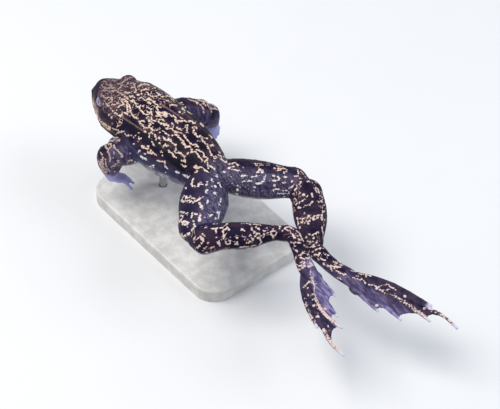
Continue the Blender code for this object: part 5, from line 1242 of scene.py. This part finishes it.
def skin_marks(points, normals):
    """Where the skin's colours lie, as one vector for each point and each of SKIN_MARKS. They hold:
    border, the signed distance from the nearest blotch's rim; maze and spots, the density of the
    worm-like lines and of pale spots; under, lilac, grain and slate, the paleness of the underside, with
    a painted sky reflection along the lower left flank, and how lilac, granular or slate the skin is;
    dark, the mask and the painted shade in the mouth's crease and the nostrils; warm, above 1 on the
    brown ridges; tips and lip, which are pale; dull, below 0 where the lines are paler; drawn, the
    distance from the drawn lines; fine, the density of the fine lines between them;
    groove_shade_hand_light, the painted shade in the grooves of the rump less the painted light on the
    hands."""
    along, offset, share = trunk_place(points)
    right, up, facing = seen(points, normals)
    level = points[:, 2]
    trunk = trunk_share(points, share)
    marks = trunk_marks(points, normals, along, offset, trunk, facing)
    away = 5.0 * (1.0 - facing)
    trunk_lines = from_picture(HEAD_LINES + BACK_LINES) + FLANK_LINES
    marks["drawn"] = np.where(trunk > 0.5, line_gap(right, up, trunk_lines) + away, 5.0)
    ridge_gap = line_gap(right, up, from_picture(RIDGE_LINES))
    on_ridge = trunk * facing * smooth_step(ridge_gap, 0.55, 0.15)
    marks["border"] = marks["border"] + 3.0 * on_ridge
    marks["tips"] = np.zeros(len(points))
    add_limbs(marks, points, share, trunk, facing, line_gap(right, up, ARM_LINES) + away)

    patch = np.hypot((right - 9.5) / 7.0, (up - 7.9 - 0.12 * (right - 9.5)) / 2.0)
    patch = (points[:, 1] > 0.0) * facing * smooth_step(patch, 1.15, 0.75)
    # painted light: the hands take lilac and a pale lilac brightening for the light and the sky's reflection
    # on them, and lose their pattern
    hand = smooth_step(level, -13.0, -17.0) * (points[:, 1] < 0.0)
    marks["grain"] = marks["grain"] * (1.0 - patch)
    marks["lilac"] = np.maximum(marks["lilac"] * (1.0 - 0.3 * patch), hand)
    marks["maze"] = marks["maze"] * (1.0 - hand)
    marks["spots"] = marks["spots"] * (1.0 - hand)
    add_feet(marks, points, normals)

    head = trunk * smooth_step(along, 52.0, 60.0)
    mask, marks["dark"], drum, lip = face_marks(points, along, np.abs(offset), head, trunk)
    dull = trunk * (0.45 + 0.55 * smooth_step(along, 59.0, 69.0)) * smooth_step(along, 54.0, 60.0)
    dull += (trunk < 0.5) * (0.4 * (points[:, 1] < -12.0) - smooth_step(points[:, 1], 14.0, 24.0))
    marks["dull"] = dull * (1.0 - 0.85 * np.minimum(lip, 1.0))
    marks["lip"] = lip
    marks["maze"] = marks["maze"] * (1.0 - mask)
    marks["fine"] = marks["fine"] * (1.0 - mask)
    warm = np.maximum(marks["warm"] * (1.0 - mask), 0.8 * drum)
    marks["warm"] = warm + on_ridge * (2.0 - warm)
    arm = (trunk < 0.5) * (points[:, 1] < 0.0) * smooth_step(level, -6.0, -9.0)
    marks["under"] = marks["under"] * (1.0 - 0.8 * arm)
    marks["border"] = np.clip(marks["border"], -5.0, 5.0)
    marks["drawn"] = np.minimum(marks["drawn"], 3.0)
    marks["groove_shade_hand_light"] = marks["groove_shade_hand_light"] - hand
    return [np.stack([marks[title] for title in titles], -1) for titles in SKIN_MARKS.values()]


def lid_tube(side):
    """Rim of the lids: a tube along the opening, on a sphere just above the eye, thickest over it."""
    centre, gaze, slit, upright = eye_directions(side)
    turn = full_turn(96)
    lean = lid_angle(turn)
    around = slit * np.cos(turn)[:, None] + upright * np.sin(turn)[:, None]
    spoke = gaze * np.cos(lean)[:, None] + around * np.sin(lean)[:, None]
    thick = 0.34 + 0.14 * np.clip(np.sin(turn), 0.0, 1.0)
    path = centre + spoke * (EYE_RADIUS + 0.12 + thick * 0.5)[:, None]
    inward = np.gradient(np.vstack([path[-1:], path, path[:1]]), axis=0)[1:-1]
    inward = np.cross(spoke, unit_rows(inward))
    rings = ring_rows(path, spoke, inward, thick, thick * 1.25, 12)
    grid = np.arange(96 * 12).reshape(96, 12)
    ahead = np.roll(grid, -1, axis=0)
    quads = np.stack([grid, np.roll(grid, -1, axis=1), np.roll(ahead, -1, axis=1), ahead], -1)
    return rings.reshape(-1, 3), quads.reshape(-1, 4).tolist()


def set_attribute(mesh, name, values):
    """Store one vector for each point of a mesh."""
    layer = mesh.attributes.new(name, "FLOAT_VECTOR", "POINT")
    layer.data.foreach_set("vector", np.asarray(values, np.float32).ravel())


def build_skin():
    """One skin over the whole frog: its parts are blended on a fine grid, eased, carved, thinned to a
    set number of triangles and given the rims of the lids and the marks."""
    parts = body_parts()
    for side in ("left", "right"):
        parts += hand_parts(HANDS[side]) + foot_parts(side)
    skin = link("skin", mesh_from("skin", parts))
    grid = skin.modifiers.new("blend", "REMESH")
    grid.mode = "VOXEL"
    grid.voxel_size = SKIN_VOXEL * MM
    bake(skin)
    points, _ = read_points(skin.data)
    edges = np.empty(len(skin.data.edges) * 2, np.int32)
    skin.data.edges.foreach_get("vertices", edges)
    edges = edges.reshape(-1, 2)
    points = ease(points, edges, np.full(len(points), 0.5), 3)
    points = ease(points, edges, 0.5 * joint_weights(points), JOINT_EASING)
    write_points(skin.data, points)
    points, normals = read_points(skin.data)
    points = points + normals * body_relief(points, normals)[:, None]
    write_points(skin.data, points)
    points, normals = read_points(skin.data)
    write_points(skin.data, carve_face(points, normals))
    thin = skin.modifiers.new("thin", "DECIMATE")
    thin.ratio = min(1.0, SKIN_TRIANGLES / 2.0 / len(skin.data.polygons))
    thin.use_collapse_triangulate = True
    bake(skin)
    work = bmesh.new()
    work.from_mesh(skin.data)
    for side in (1, -1):
        rim = mesh_from("rim", [lid_tube(side)])
        work.from_mesh(rim)
        bpy.data.meshes.remove(rim)
    work.to_mesh(skin.data)
    work.free()
    skin.data.shade_smooth()
    points, normals = read_points(skin.data)
    for name, values in zip(SKIN_MARKS, skin_marks(points, normals)):
        set_attribute(skin.data, name, values)
    return skin


def build_eye(side, name):
    """Eyeball: a sphere whose cornea swells by a bell of the angle from the gaze. The attribute iris
    holds how far each point lies along the slit, upwards and forwards."""
    centre, gaze, slit, upright = eye_directions(side)
    lean = np.linspace(0.0, math.pi, 72)[1:-1, None]
    turn = full_turn(96)[None, :]
    local = np.stack([np.sin(lean) * np.cos(turn), np.sin(lean) * np.sin(turn),
                      np.cos(lean) + 0.0 * turn], -1)
    swell = EYE_RADIUS - 0.06 + 0.22 * bell(lean, 0.75)
    rings = centre + (local @ np.stack([slit, upright, gaze])) * swell[..., None]
    mesh = mesh_from(name, [closed_rings(rings)])
    mesh.shade_smooth()
    points, _ = read_points(mesh)
    away = unit_rows(points - centre)
    set_attribute(mesh, "iris", np.stack([away @ slit, away @ upright, away @ gaze], -1))
    return link(name, mesh)


def node(tree, kind, inputs=None, **settings):
    """A shader node with its settings; each input is a value or the socket that feeds it."""
    made = tree.nodes.new(kind)
    for key, value in settings.items():
        setattr(made, key, value)
    for key, value in (inputs or {}).items():
        if isinstance(value, bpy.types.NodeSocket):
            tree.links.new(value, made.inputs[key])
        else:
            made.inputs[key].default_value = value
    return made


def sums(tree, operation, first, second=0.0, third=0.0):
    """A Math node's value."""
    return node(tree, "ShaderNodeMath", {0: first, 1: second, 2: third}, operation=operation).outputs[0]


def times(tree, first, *others):
    """The product of values."""
    for other in others:
        first = sums(tree, "MULTIPLY", first, other)
    return first


def most(tree, first, *others):
    """The largest of values."""
    for other in others:
        first = sums(tree, "MAXIMUM", first, other)
    return first


def less(tree, first, second):
    """The first value less the second."""
    return sums(tree, "SUBTRACT", first, second)


def between(tree, value, low, high, start=0.0, end=1.0):
    """A value carried smoothly from low..high to start..end."""
    return node(tree, "ShaderNodeMapRange", {0: value, 1: low, 2: high, 3: start, 4: end},
                interpolation_type="SMOOTHSTEP").outputs[0]


def mixed(tree, share, first, second):
    """A colour between two others."""
    made = node(tree, "ShaderNodeMix", {0: share}, data_type="RGBA")
    for index, colour in ((6, first), (7, second)):
        if isinstance(colour, bpy.types.NodeSocket):
            tree.links.new(colour, made.inputs[index])
        else:
            made.inputs[index].default_value = (*colour, 1.0)
    return made.outputs[2]


def noise(tree, place, scale, detail=2.0, roughness=0.5, output=0):
    """A Noise node's value at a place in millimetres."""
    return node(tree, "ShaderNodeTexNoise", {"Vector": place, "Scale": scale, "Detail": detail,
                                             "Roughness": roughness}).outputs[output]


def cells(tree, place, scale, output="Distance", **settings):
    """A Voronoi node's value at a place in millimetres."""
    return node(tree, "ShaderNodeTexVoronoi", {"Vector": place, "Scale": scale}, **settings).outputs[output]


def sway(tree, place, scale, reach):
    """A place moved by up to half the reach, in millimetres, so that a pattern on it wavers."""
    drift = noise(tree, place, scale, 1.0, output=1)
    drift = node(tree, "ShaderNodeVectorMath", {0: drift, 1: (0.5,) * 3}, operation="SUBTRACT").outputs[0]
    return node(tree, "ShaderNodeVectorMath", {0: drift, 1: (2.0 * reach,) * 3, 2: place},
                operation="MULTIPLY_ADD").outputs[0]


def millimetres(tree):
    """Place on the object in millimetres."""
    place = node(tree, "ShaderNodeTexCoord").outputs["Object"]
    return node(tree, "ShaderNodeMapping", {"Vector": place, "Scale": (1 / MM,) * 3}).outputs[0]


def attribute(tree, name):
    """The three values of a vector attribute."""
    vector = node(tree, "ShaderNodeAttribute", attribute_name=name).outputs["Vector"]
    parted = node(tree, "ShaderNodeSeparateXYZ", {0: vector})
    return parted.outputs[0], parted.outputs[1], parted.outputs[2]


def new_group(name, inputs, outputs):
    """An empty node group with named sockets, each a name and a kind; returns it with its two ends."""
    group = bpy.data.node_groups.new(name, "ShaderNodeTree")
    for title, kind in inputs:
        group.interface.new_socket(title, in_out="INPUT", socket_type="NodeSocket" + kind)
    for title, kind in outputs:
        group.interface.new_socket(title, in_out="OUTPUT", socket_type="NodeSocket" + kind)
    return group, group.nodes.new("NodeGroupInput").outputs, group.nodes.new("NodeGroupOutput").inputs


def speckle_group():
    """Fine speckle and slow cloud of any finish: one value about 0.5 and a height for its bump."""
    group, given, put = new_group("fine_speckle", [("Place", "Vector"), ("Size", "Float")],
                                  [("Cloud", "Float"), ("Height", "Float")])
    slow = noise(group, given["Place"], sums(group, "MULTIPLY", given["Size"], 0.13), 3.0)
    fine = noise(group, given["Place"], given["Size"], 4.0, 0.65)
    cloud = sums(group, "MULTIPLY_ADD", slow, 0.65, sums(group, "MULTIPLY", fine, 0.35))
    group.links.new(cloud, put["Cloud"])
    group.links.new(fine, put["Height"])
    return group


def place_group(tree, group, **inputs):
    """A group's node, fed by name."""
    made = tree.nodes.new("ShaderNodeGroup")
    made.node_tree = group
    for key, value in inputs.items():
        if isinstance(value, bpy.types.NodeSocket):
            tree.links.new(value, made.inputs[key])
        else:
            made.inputs[key].default_value = value
    return made.outputs


def new_material(name, **settings):
    """A material with its Principled shader and the constant values on the shader's own sockets."""
    made = bpy.data.materials.new(name)
    made.use_nodes = True
    shader = made.node_tree.nodes["Principled BSDF"]
    for key, value in settings.items():
        shader.inputs[key.replace("_", " ")].default_value = value
    return made, made.node_tree, shader.inputs


def bump(tree, height, depth):
    """A Bump node's normal for a relief of the given depth in millimetres."""
    return node(tree, "ShaderNodeBump", {"Height": height, "Distance": depth * MM}).outputs[0]


def ring_lines(tree, place, maze, edge, swell):
    """Rings round the blotches with gaps along them: the line and its pale core."""
    away = less(tree, sums(tree, "ABSOLUTE", less(tree, edge, 0.30)), swell)
    gaps = between(tree, noise(tree, place, 0.33, 1.0), 0.36, 0.44)
    ring = times(tree, between(tree, away, 0.08, -0.08), gaps, between(tree, maze, 0.1, 0.3))
    return ring, between(tree, away, 0.02, -0.12)


def worm_lines(tree, place, near, maze, edge, beads):
    """Worm-like lines: loops where a noise crosses its middle and, where the lines stand dense, knots
    on the peaks of another; both keep clear of the blotches. Returns them all and the knots alone."""
    width = between(tree, beads, 0.36, 0.60, 0.030, 0.062)
    loop = less(tree, sums(tree, "ABSOLUTE", less(tree, noise(tree, near, 0.42, 0.0), 0.5)), width)
    room = less(tree, maze, noise(tree, place, 0.27, 1.0))
    loop = times(tree, between(tree, loop, 0.010, -0.010), between(tree, room, 0.0, 0.04))
    level = between(tree, maze, 0.60, 1.0, 0.64, 0.525)
    knot = between(tree, less(tree, noise(tree, near, 0.62, 0.0), level), -0.018, 0.018)
    knot = times(tree, knot, between(tree, maze, 0.60, 0.66))
    return times(tree, most(tree, loop, knot), between(tree, edge, 0.0, 0.3)), knot


def pale_spots(tree, near, spots):
    """Pale spots in some of the cells, in more of them where the attribute is higher."""
    chosen = node(tree, "ShaderNodeSeparateColor", {0: cells(tree, near, 0.44, "Color")}).outputs[0]
    few = between(tree, sums(tree, "ADD", chosen, spots), 0.94, 0.98)
    return times(tree, between(tree, cells(tree, near, 0.44), 0.34, 0.26), few)


def drawn_lines(tree, place, drawn, swell):
    """The drawn lines with a shaken edge: the line and its pale core."""
    shaken = sums(tree, "MULTIPLY_ADD", less(tree, noise(tree, place, 1.5, 1.0), 0.5), 0.9, drawn)
    away = less(tree, shaken, swell)
    return between(tree, away, 0.09, -0.09), between(tree, away, 0.02, -0.12)


def thread_lines(tree, place, near, drawn, fine, edge, bead):
    """Fine threads in the space between the drawn lines: the line and its pale core."""
    away = sums(tree, "ABSOLUTE", less(tree, noise(tree, near, 0.55, 0.0), 0.5))
    away = less(tree, away, sums(tree, "MULTIPLY_ADD", bead, 0.045, 0.024))
    room = less(tree, fine, noise(tree, place, 0.22, 1.0))
    thread = times(tree, between(tree, away, 0.012, -0.012), between(tree, drawn, 0.55, 0.85),
                   between(tree, edge, 0.0, 0.4), between(tree, room, 0.0, 0.08))
    return thread, between(tree, away, 0.000, -0.025)


def skin_lines(tree, place, near, beads, edge, marks):
    """All pale lines and spots together, how pale each place of them is, and their pale core."""
    bead = between(tree, cells(tree, near, 0.95), 0.62, 0.22)
    swell = sums(tree, "MULTIPLY_ADD", bead, 0.30, 0.23)
    ring, ring_core = ring_lines(tree, place, marks["maze"], edge, swell)
    worm, knot = worm_lines(tree, place, near, marks["maze"], edge, beads)
    spot = pale_spots(tree, near, marks["spots"])
    brush, brush_core = drawn_lines(tree, place, marks["drawn"], swell)
    thread, thread_core = thread_lines(tree, place, near, marks["drawn"], marks["fine"], edge, bead)
    line = times(tree, most(tree, ring, worm, thread, spot, brush),
                 between(tree, marks["under"], 0.75, 0.15), between(tree, marks["dark"], 0.7, 0.3))
    lip = times(tree, marks["lip"], between(tree, beads, 0.42, 0.54, 0.30, 1.0))
    return most(tree, line, lip), most(tree, ring_core, brush_core, thread_core, knot, spot, marks["lip"])


def skin_ground(tree, place, near, beads, edge, grains, marks):
    """Colour of the skin between the pale lines."""
    cloud = noise(tree, place, 0.16, 3.0, 0.6)
    ground = mixed(tree, between(tree, cloud, 0.40, 0.62), GROUND_DEEP, GROUND_BROWN)
    ground = mixed(tree, times(tree, marks["slate"], 0.85), ground, SLATE)
    reddish = mixed(tree, between(tree, noise(tree, place, 0.8, 3.0), 0.40, 0.60), REDDISH_DEEP, REDDISH)
    ground = mixed(tree, marks["warm"], ground, reddish)
    ridge = times(tree, between(tree, marks["warm"], 1.0, 2.0), between(tree, beads, 0.40, 0.52, 0.3, 0.9))
    drawn_out = node(tree, "ShaderNodeVectorMath", {0: near, 1: STREAK_SCALE},
                     operation="MULTIPLY").outputs[0]
    streaks = between(tree, noise(tree, drawn_out, 0.8, 2.0), 0.40, 0.60)
    ground = mixed(tree, marks["lilac"], ground, mixed(tree, streaks, MAUVE_DEEP, MAUVE))
    # painted light: the hands brightened to pale lilac
    painted_hand_light = most(tree, times(tree, marks["groove_shade_hand_light"], -0.8), 0.0)
    ground = mixed(tree, painted_hand_light, ground, PAINTED_HAND_LIGHT)
    ground = mixed(tree, grains, ground, GRANULE)
    # painted shade: dark streaks in the grooves of the rump and the rear thighs
    groove = between(tree, noise(tree, drawn_out, 1.1, 1.0), 0.50, 0.58)
    groove = times(tree, most(tree, marks["groove_shade_hand_light"], 0.0), groove, 0.75)
    ground = mixed(tree, groove, ground, GROOVE_SHADE)
    mottle = between(tree, noise(tree, near, 0.30, 2.0), 0.42, 0.60)
    # the pale underside, and the painted sky reflection along the lower left flank
    ground = mixed(tree, marks["under"], ground, mixed(tree, mottle, BELLY_GREY, BELLY_PALE))
    inside = times(tree, between(tree, edge, 0.1, -0.2), between(tree, marks["under"], 0.5, 0.1), 0.9)
    ground = mixed(tree, inside, ground, BLOTCH)
    # the dark mask, and painted shade in the mouth's crease and the nostrils
    ground = mixed(tree, times(tree, marks["dark"], 0.90), ground, MASK)
    return mixed(tree, ridge, ground, RIDGE)


def skin_cream(tree, beads, core, marks):
    """Colour of the pale lines: dull on the snout, clear on the legs, cool on granular and slate skin,
    with a brown fringe outside their core."""
    cream = mixed(tree, between(tree, beads, 0.36, 0.60), CREAM_DEEP, CREAM)
    cream = mixed(tree, most(tree, times(tree, marks["dull"], 0.85), 0.0), cream, CREAM_DULL)
    cream = mixed(tree, most(tree, times(tree, marks["dull"], -0.6), 0.0), cream, CREAM_LEGS)
    cream = mixed(tree, most(tree, marks["grain"], marks["slate"]), cream, CREAM_COOL)
    return mixed(tree, core, FRINGE, cream)


def skin_material(speckle):
    """Wet frog skin: a dark purple-brown ground with black blotches ringed by beaded cream lines,
    worm-like lines on head and nape, slate flanks, granular lilac thighs and a pale underside."""
    made, tree, shader = new_material("skin", Coat_Weight=0.02, Coat_Roughness=0.25, Specular_IOR_Level=0.07)
    place = millimetres(tree)
    marks = {}
    for name, titles in SKIN_MARKS.items():
        marks.update(zip(titles, attribute(tree, name)))
    near = sway(tree, place, 0.5, 0.35)
    beads = noise(tree, place, 2.1, 1.0)
    wiggle = noise(tree, near, 0.85, 1.0)
    edge = sums(tree, "MULTIPLY_ADD", less(tree, wiggle, 0.5), 3.0, marks["border"])
    grains = times(tree, marks["grain"], between(tree, cells(tree, place, 1.25), 0.50, 0.28))
    line, core = skin_lines(tree, place, near, beads, edge, marks)
    ground = skin_ground(tree, place, near, beads, edge, grains, marks)
    colour = mixed(tree, line, ground, skin_cream(tree, beads, core, marks))
    colour = mixed(tree, times(tree, marks["tips"], 0.9), colour, TOE_TIP)
    tree.links.new(colour, shader["Base Color"])

    cloudy = place_group(tree, speckle, Place=place, Size=3.0)
    rough = between(tree, cloudy["Cloud"], 0.3, 0.7, 0.40, 0.58)
    tree.links.new(rough, shader["Roughness"])
    pores = between(tree, cells(tree, place, 2.6), 0.05, 0.5)
    height = sums(tree, "MULTIPLY_ADD", cloudy["Height"], 0.6, times(tree, pores, 0.3))
    height = sums(tree, "MULTIPLY_ADD", line, 0.55, height)
    height = sums(tree, "MULTIPLY_ADD", grains, 1.4, height)
    tree.links.new(bump(tree, height, 0.13), shader["Normal"])
    return made


def eye_material(speckle):
    """Wet eye: oval pupil along the slit, a fine gold rim, a bronze iris with dark veins that run out
    from the pupil, darker along the slit, a painted lilac sky reflection over its upper half and edge,
    and a painted lilac sheen that comes up where the eye is seen at a slant."""
    made, tree, shader = new_material("eye", Roughness=0.22, Coat_Weight=1.0, Coat_Roughness=0.02,
                                      Specular_IOR_Level=0.6)
    slit, upright, forward = attribute(tree, "iris")
    place = millimetres(tree)
    wave = sums(tree, "MULTIPLY_ADD", noise(tree, place, 1.6), 0.16, -0.08)
    reach = sums(tree, "SQRT", sums(tree, "ADD", sums(tree, "POWER", sums(tree, "DIVIDE", slit, 0.46), 2.0),
                                    sums(tree, "POWER", sums(tree, "DIVIDE", upright, 0.30), 2.0)))
    edge = sums(tree, "ADD", reach, times(tree, wave, 0.4))
    pupil = between(tree, edge, 1.04, 0.98)
    gold = times(tree, between(tree, edge, 1.0, 1.05), between(tree, edge, 1.24, 1.12))
    turn = sums(tree, "ARCTAN2", upright, slit)
    spokes = node(tree, "ShaderNodeCombineXYZ", {0: times(tree, turn, 7.0), 1: reach}).outputs[0]
    veins = between(tree, noise(tree, spokes, 1.8, 3.0, 0.65), 0.40, 0.62)
    fleck = between(tree, noise(tree, place, 4.0, 2.0), 0.42, 0.62)
    iris = mixed(tree, veins, IRIS_DEEP, IRIS_BRONZE)
    iris = mixed(tree, times(tree, fleck, 0.5), iris, IRIS_FLECK)
    band = times(tree, between(tree, sums(tree, "ABSOLUTE", upright), 0.30, 0.10), 0.75)
    iris = mixed(tree, band, iris, IRIS_SLIT)
    low = between(tree, upright, -0.10, -0.5)
    iris = mixed(tree, times(tree, low, 0.6), iris, IRIS_LOW)
    iris = mixed(tree, gold, iris, IRIS_GOLD)
    # painted reflection of the sky over the outer upper iris
    sky_reflection = times(tree, between(tree, upright, 0.0, 0.20), between(tree, forward, 0.99, 0.93))
    iris = mixed(tree, times(tree, sky_reflection, 0.6), iris, IRIS_SKY_REFLECTION)
    iris = mixed(tree, pupil, iris, PUPIL)
    # painted sky reflection on the eyeball's edge, in a membrane-like bluish lilac
    iris = mixed(tree, between(tree, forward, 0.62, 0.46), iris, EYE_RIM_SHEEN)
    slant = node(tree, "ShaderNodeLayerWeight", {"Blend": 0.5}).outputs["Facing"]
    iris = mixed(tree, between(tree, slant, 0.35, 0.60, 0.0, 0.95), iris, EYE_SHEEN)
    tree.links.new(iris, shader["Base Color"])
    height = place_group(tree, speckle, Place=place, Size=5.0)["Height"]
    tree.links.new(bump(tree, height, 0.02), shader["Normal"])
    return made


def base_material(speckle):
    """Honed pale stone of the base: soft cloud, fine darker flecks, a matt polish."""
    made, tree, shader = new_material("base", Specular_IOR_Level=0.4)
    place = millimetres(tree)
    stone = place_group(tree, speckle, Place=place, Size=1.4)
    fleck = between(tree, cells(tree, place, 1.1), 0.10, 0.04)
    colour = mixed(tree, between(tree, stone["Cloud"], 0.38, 0.64), STONE_GREY, STONE_PALE)
    colour = mixed(tree, times(tree, fleck, 0.35), colour, STONE_FLECK)
    tree.links.new(colour, shader["Base Color"])
    tree.links.new(between(tree, stone["Height"], 0.3, 0.7, 0.38, 0.55), shader["Roughness"])
    tree.links.new(bump(tree, stone["Height"], 0.03), shader["Normal"])
    return made


def rod_material(speckle):
    """Brushed steel of the rods: fine rings round them and slight clouding."""
    made, tree, shader = new_material("rod", Metallic=1.0)
    place = millimetres(tree)
    rings = node(tree, "ShaderNodeMapping", {"Vector": place, "Scale": (0.4, 0.4, 9.0)}).outputs[0]
    brushed = noise(tree, rings, 2.0, 3.0, 0.6)
    cloud = place_group(tree, speckle, Place=place, Size=1.0)
    colour = mixed(tree, cloud["Cloud"], STEEL_DULL, STEEL_BRIGHT)
    tree.links.new(colour, shader["Base Color"])
    tree.links.new(between(tree, brushed, 0.3, 0.7, 0.24, 0.42), shader["Roughness"])
    tree.links.new(bump(tree, brushed, 0.01), shader["Normal"])
    return made


def floor_material(speckle):
    """Pale matt studio floor."""
    made, tree, shader = new_material("floor", Roughness=0.75, Specular_IOR_Level=0.2)
    cloud = place_group(tree, speckle, Place=millimetres(tree), Size=0.05)["Cloud"]
    tree.links.new(mixed(tree, cloud, FLOOR_GREY, FLOOR_PALE), shader["Base Color"])
    return made


def dress(piece, surface, slot, *nodes):
    """Give a piece its material and let it stand for nodes of the frame; slot is not used."""
    piece.data.materials.clear()
    piece.data.materials.append(surface)
    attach(piece, "root")
    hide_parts(*nodes)


def set_floor(surface):
    """A wide square on the level of the stand's underside."""
    mesh = bpy.data.meshes.new("floor")
    corners = [(x * FLOOR_HALF, y * FLOOR_HALF, 0.0) for x, y in ((-1, -1), (1, -1), (1, 1), (-1, 1))]
    mesh.from_pydata(corners, [], [(0, 1, 2, 3)])
    floor = link("floor", mesh)
    mesh.materials.append(surface)


def set_light(name, place, aim, size, power, colour):
    """A soft square lamp at a place, aimed at a point."""
    lamp = bpy.data.lights.new(name, "AREA")
    lamp.size = size
    lamp.energy = power
    lamp.color = colour
    made = bpy.data.objects.new(name, lamp)
    made.location = place
    made.rotation_mode = "QUATERNION"
    made.rotation_quaternion = (Vector(place) - Vector(aim)).to_track_quat("Z", "Y")
    bpy.context.scene.collection.objects.link(made)


def set_studio():
    """Plain soft studio: a large lamp overhead, a fill from the left and a pale surround."""
    world = bpy.data.worlds.new("studio")
    world.use_nodes = True
    world.node_tree.nodes["Background"].inputs[0].default_value = SKY_COLOUR
    world.node_tree.nodes["Background"].inputs[1].default_value = 0.55
    bpy.context.scene.world = world
    bpy.context.scene.view_settings.view_transform = "Standard"
    set_light("key", (0.35, -0.25, 0.85), (0.0, 0.03, 0.03), 0.60, 9.0, KEY_COLOUR)
    set_light("fill", (-0.60, 0.50, 0.60), (0.0, 0.03, 0.03), 0.60, 4.0, FILL_COLOUR)


def set_camera():
    """The photograph's view: from behind the left side, 46 degrees above the horizon."""
    back = Vector(CAMERA_BACK)
    eye = bpy.data.cameras.new("camera")
    eye.sensor_width = 36.0
    eye.lens = eye.sensor_width * CAMERA_DISTANCE / VIEW_WIDTH
    eye.clip_start = 0.05
    made = bpy.data.objects.new("camera", eye)
    made.location = Vector(to_stand(CAMERA_AIM)) + back * (CAMERA_DISTANCE * MM)
    made.rotation_mode = "QUATERNION"
    made.rotation_quaternion = back.to_track_quat("Z", "Y")
    bpy.context.scene.collection.objects.link(made)
    bpy.context.scene.camera = made


def main():
    """Dress every node of the frame and set the studio."""
    speckle = speckle_group()
    names = ("upper_arm", "forearm", "hand", "thigh", "shank", "tarsus", "foot")
    limbs = [name + "_" + side for name in names for side in ("left", "right")]
    dress(build_skin(), skin_material(speckle), "skin", "head", "torso", *limbs)
    wet = eye_material(speckle)
    for name, side in (("left", 1), ("right", -1)):
        dress(build_eye(side, "eyeball_" + name), wet, "eye", "eye_" + name)
    stone = base_material(speckle)
    steel = rod_material(speckle)
    for name, surface in (("stand_base", stone), ("stand_rod_front", steel), ("stand_rod_rear", steel)):
        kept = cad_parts[name]
        kept.data.materials.clear()
        kept.data.materials.append(surface)
    set_floor(floor_material(speckle))
    set_studio()
    set_camera()


main()
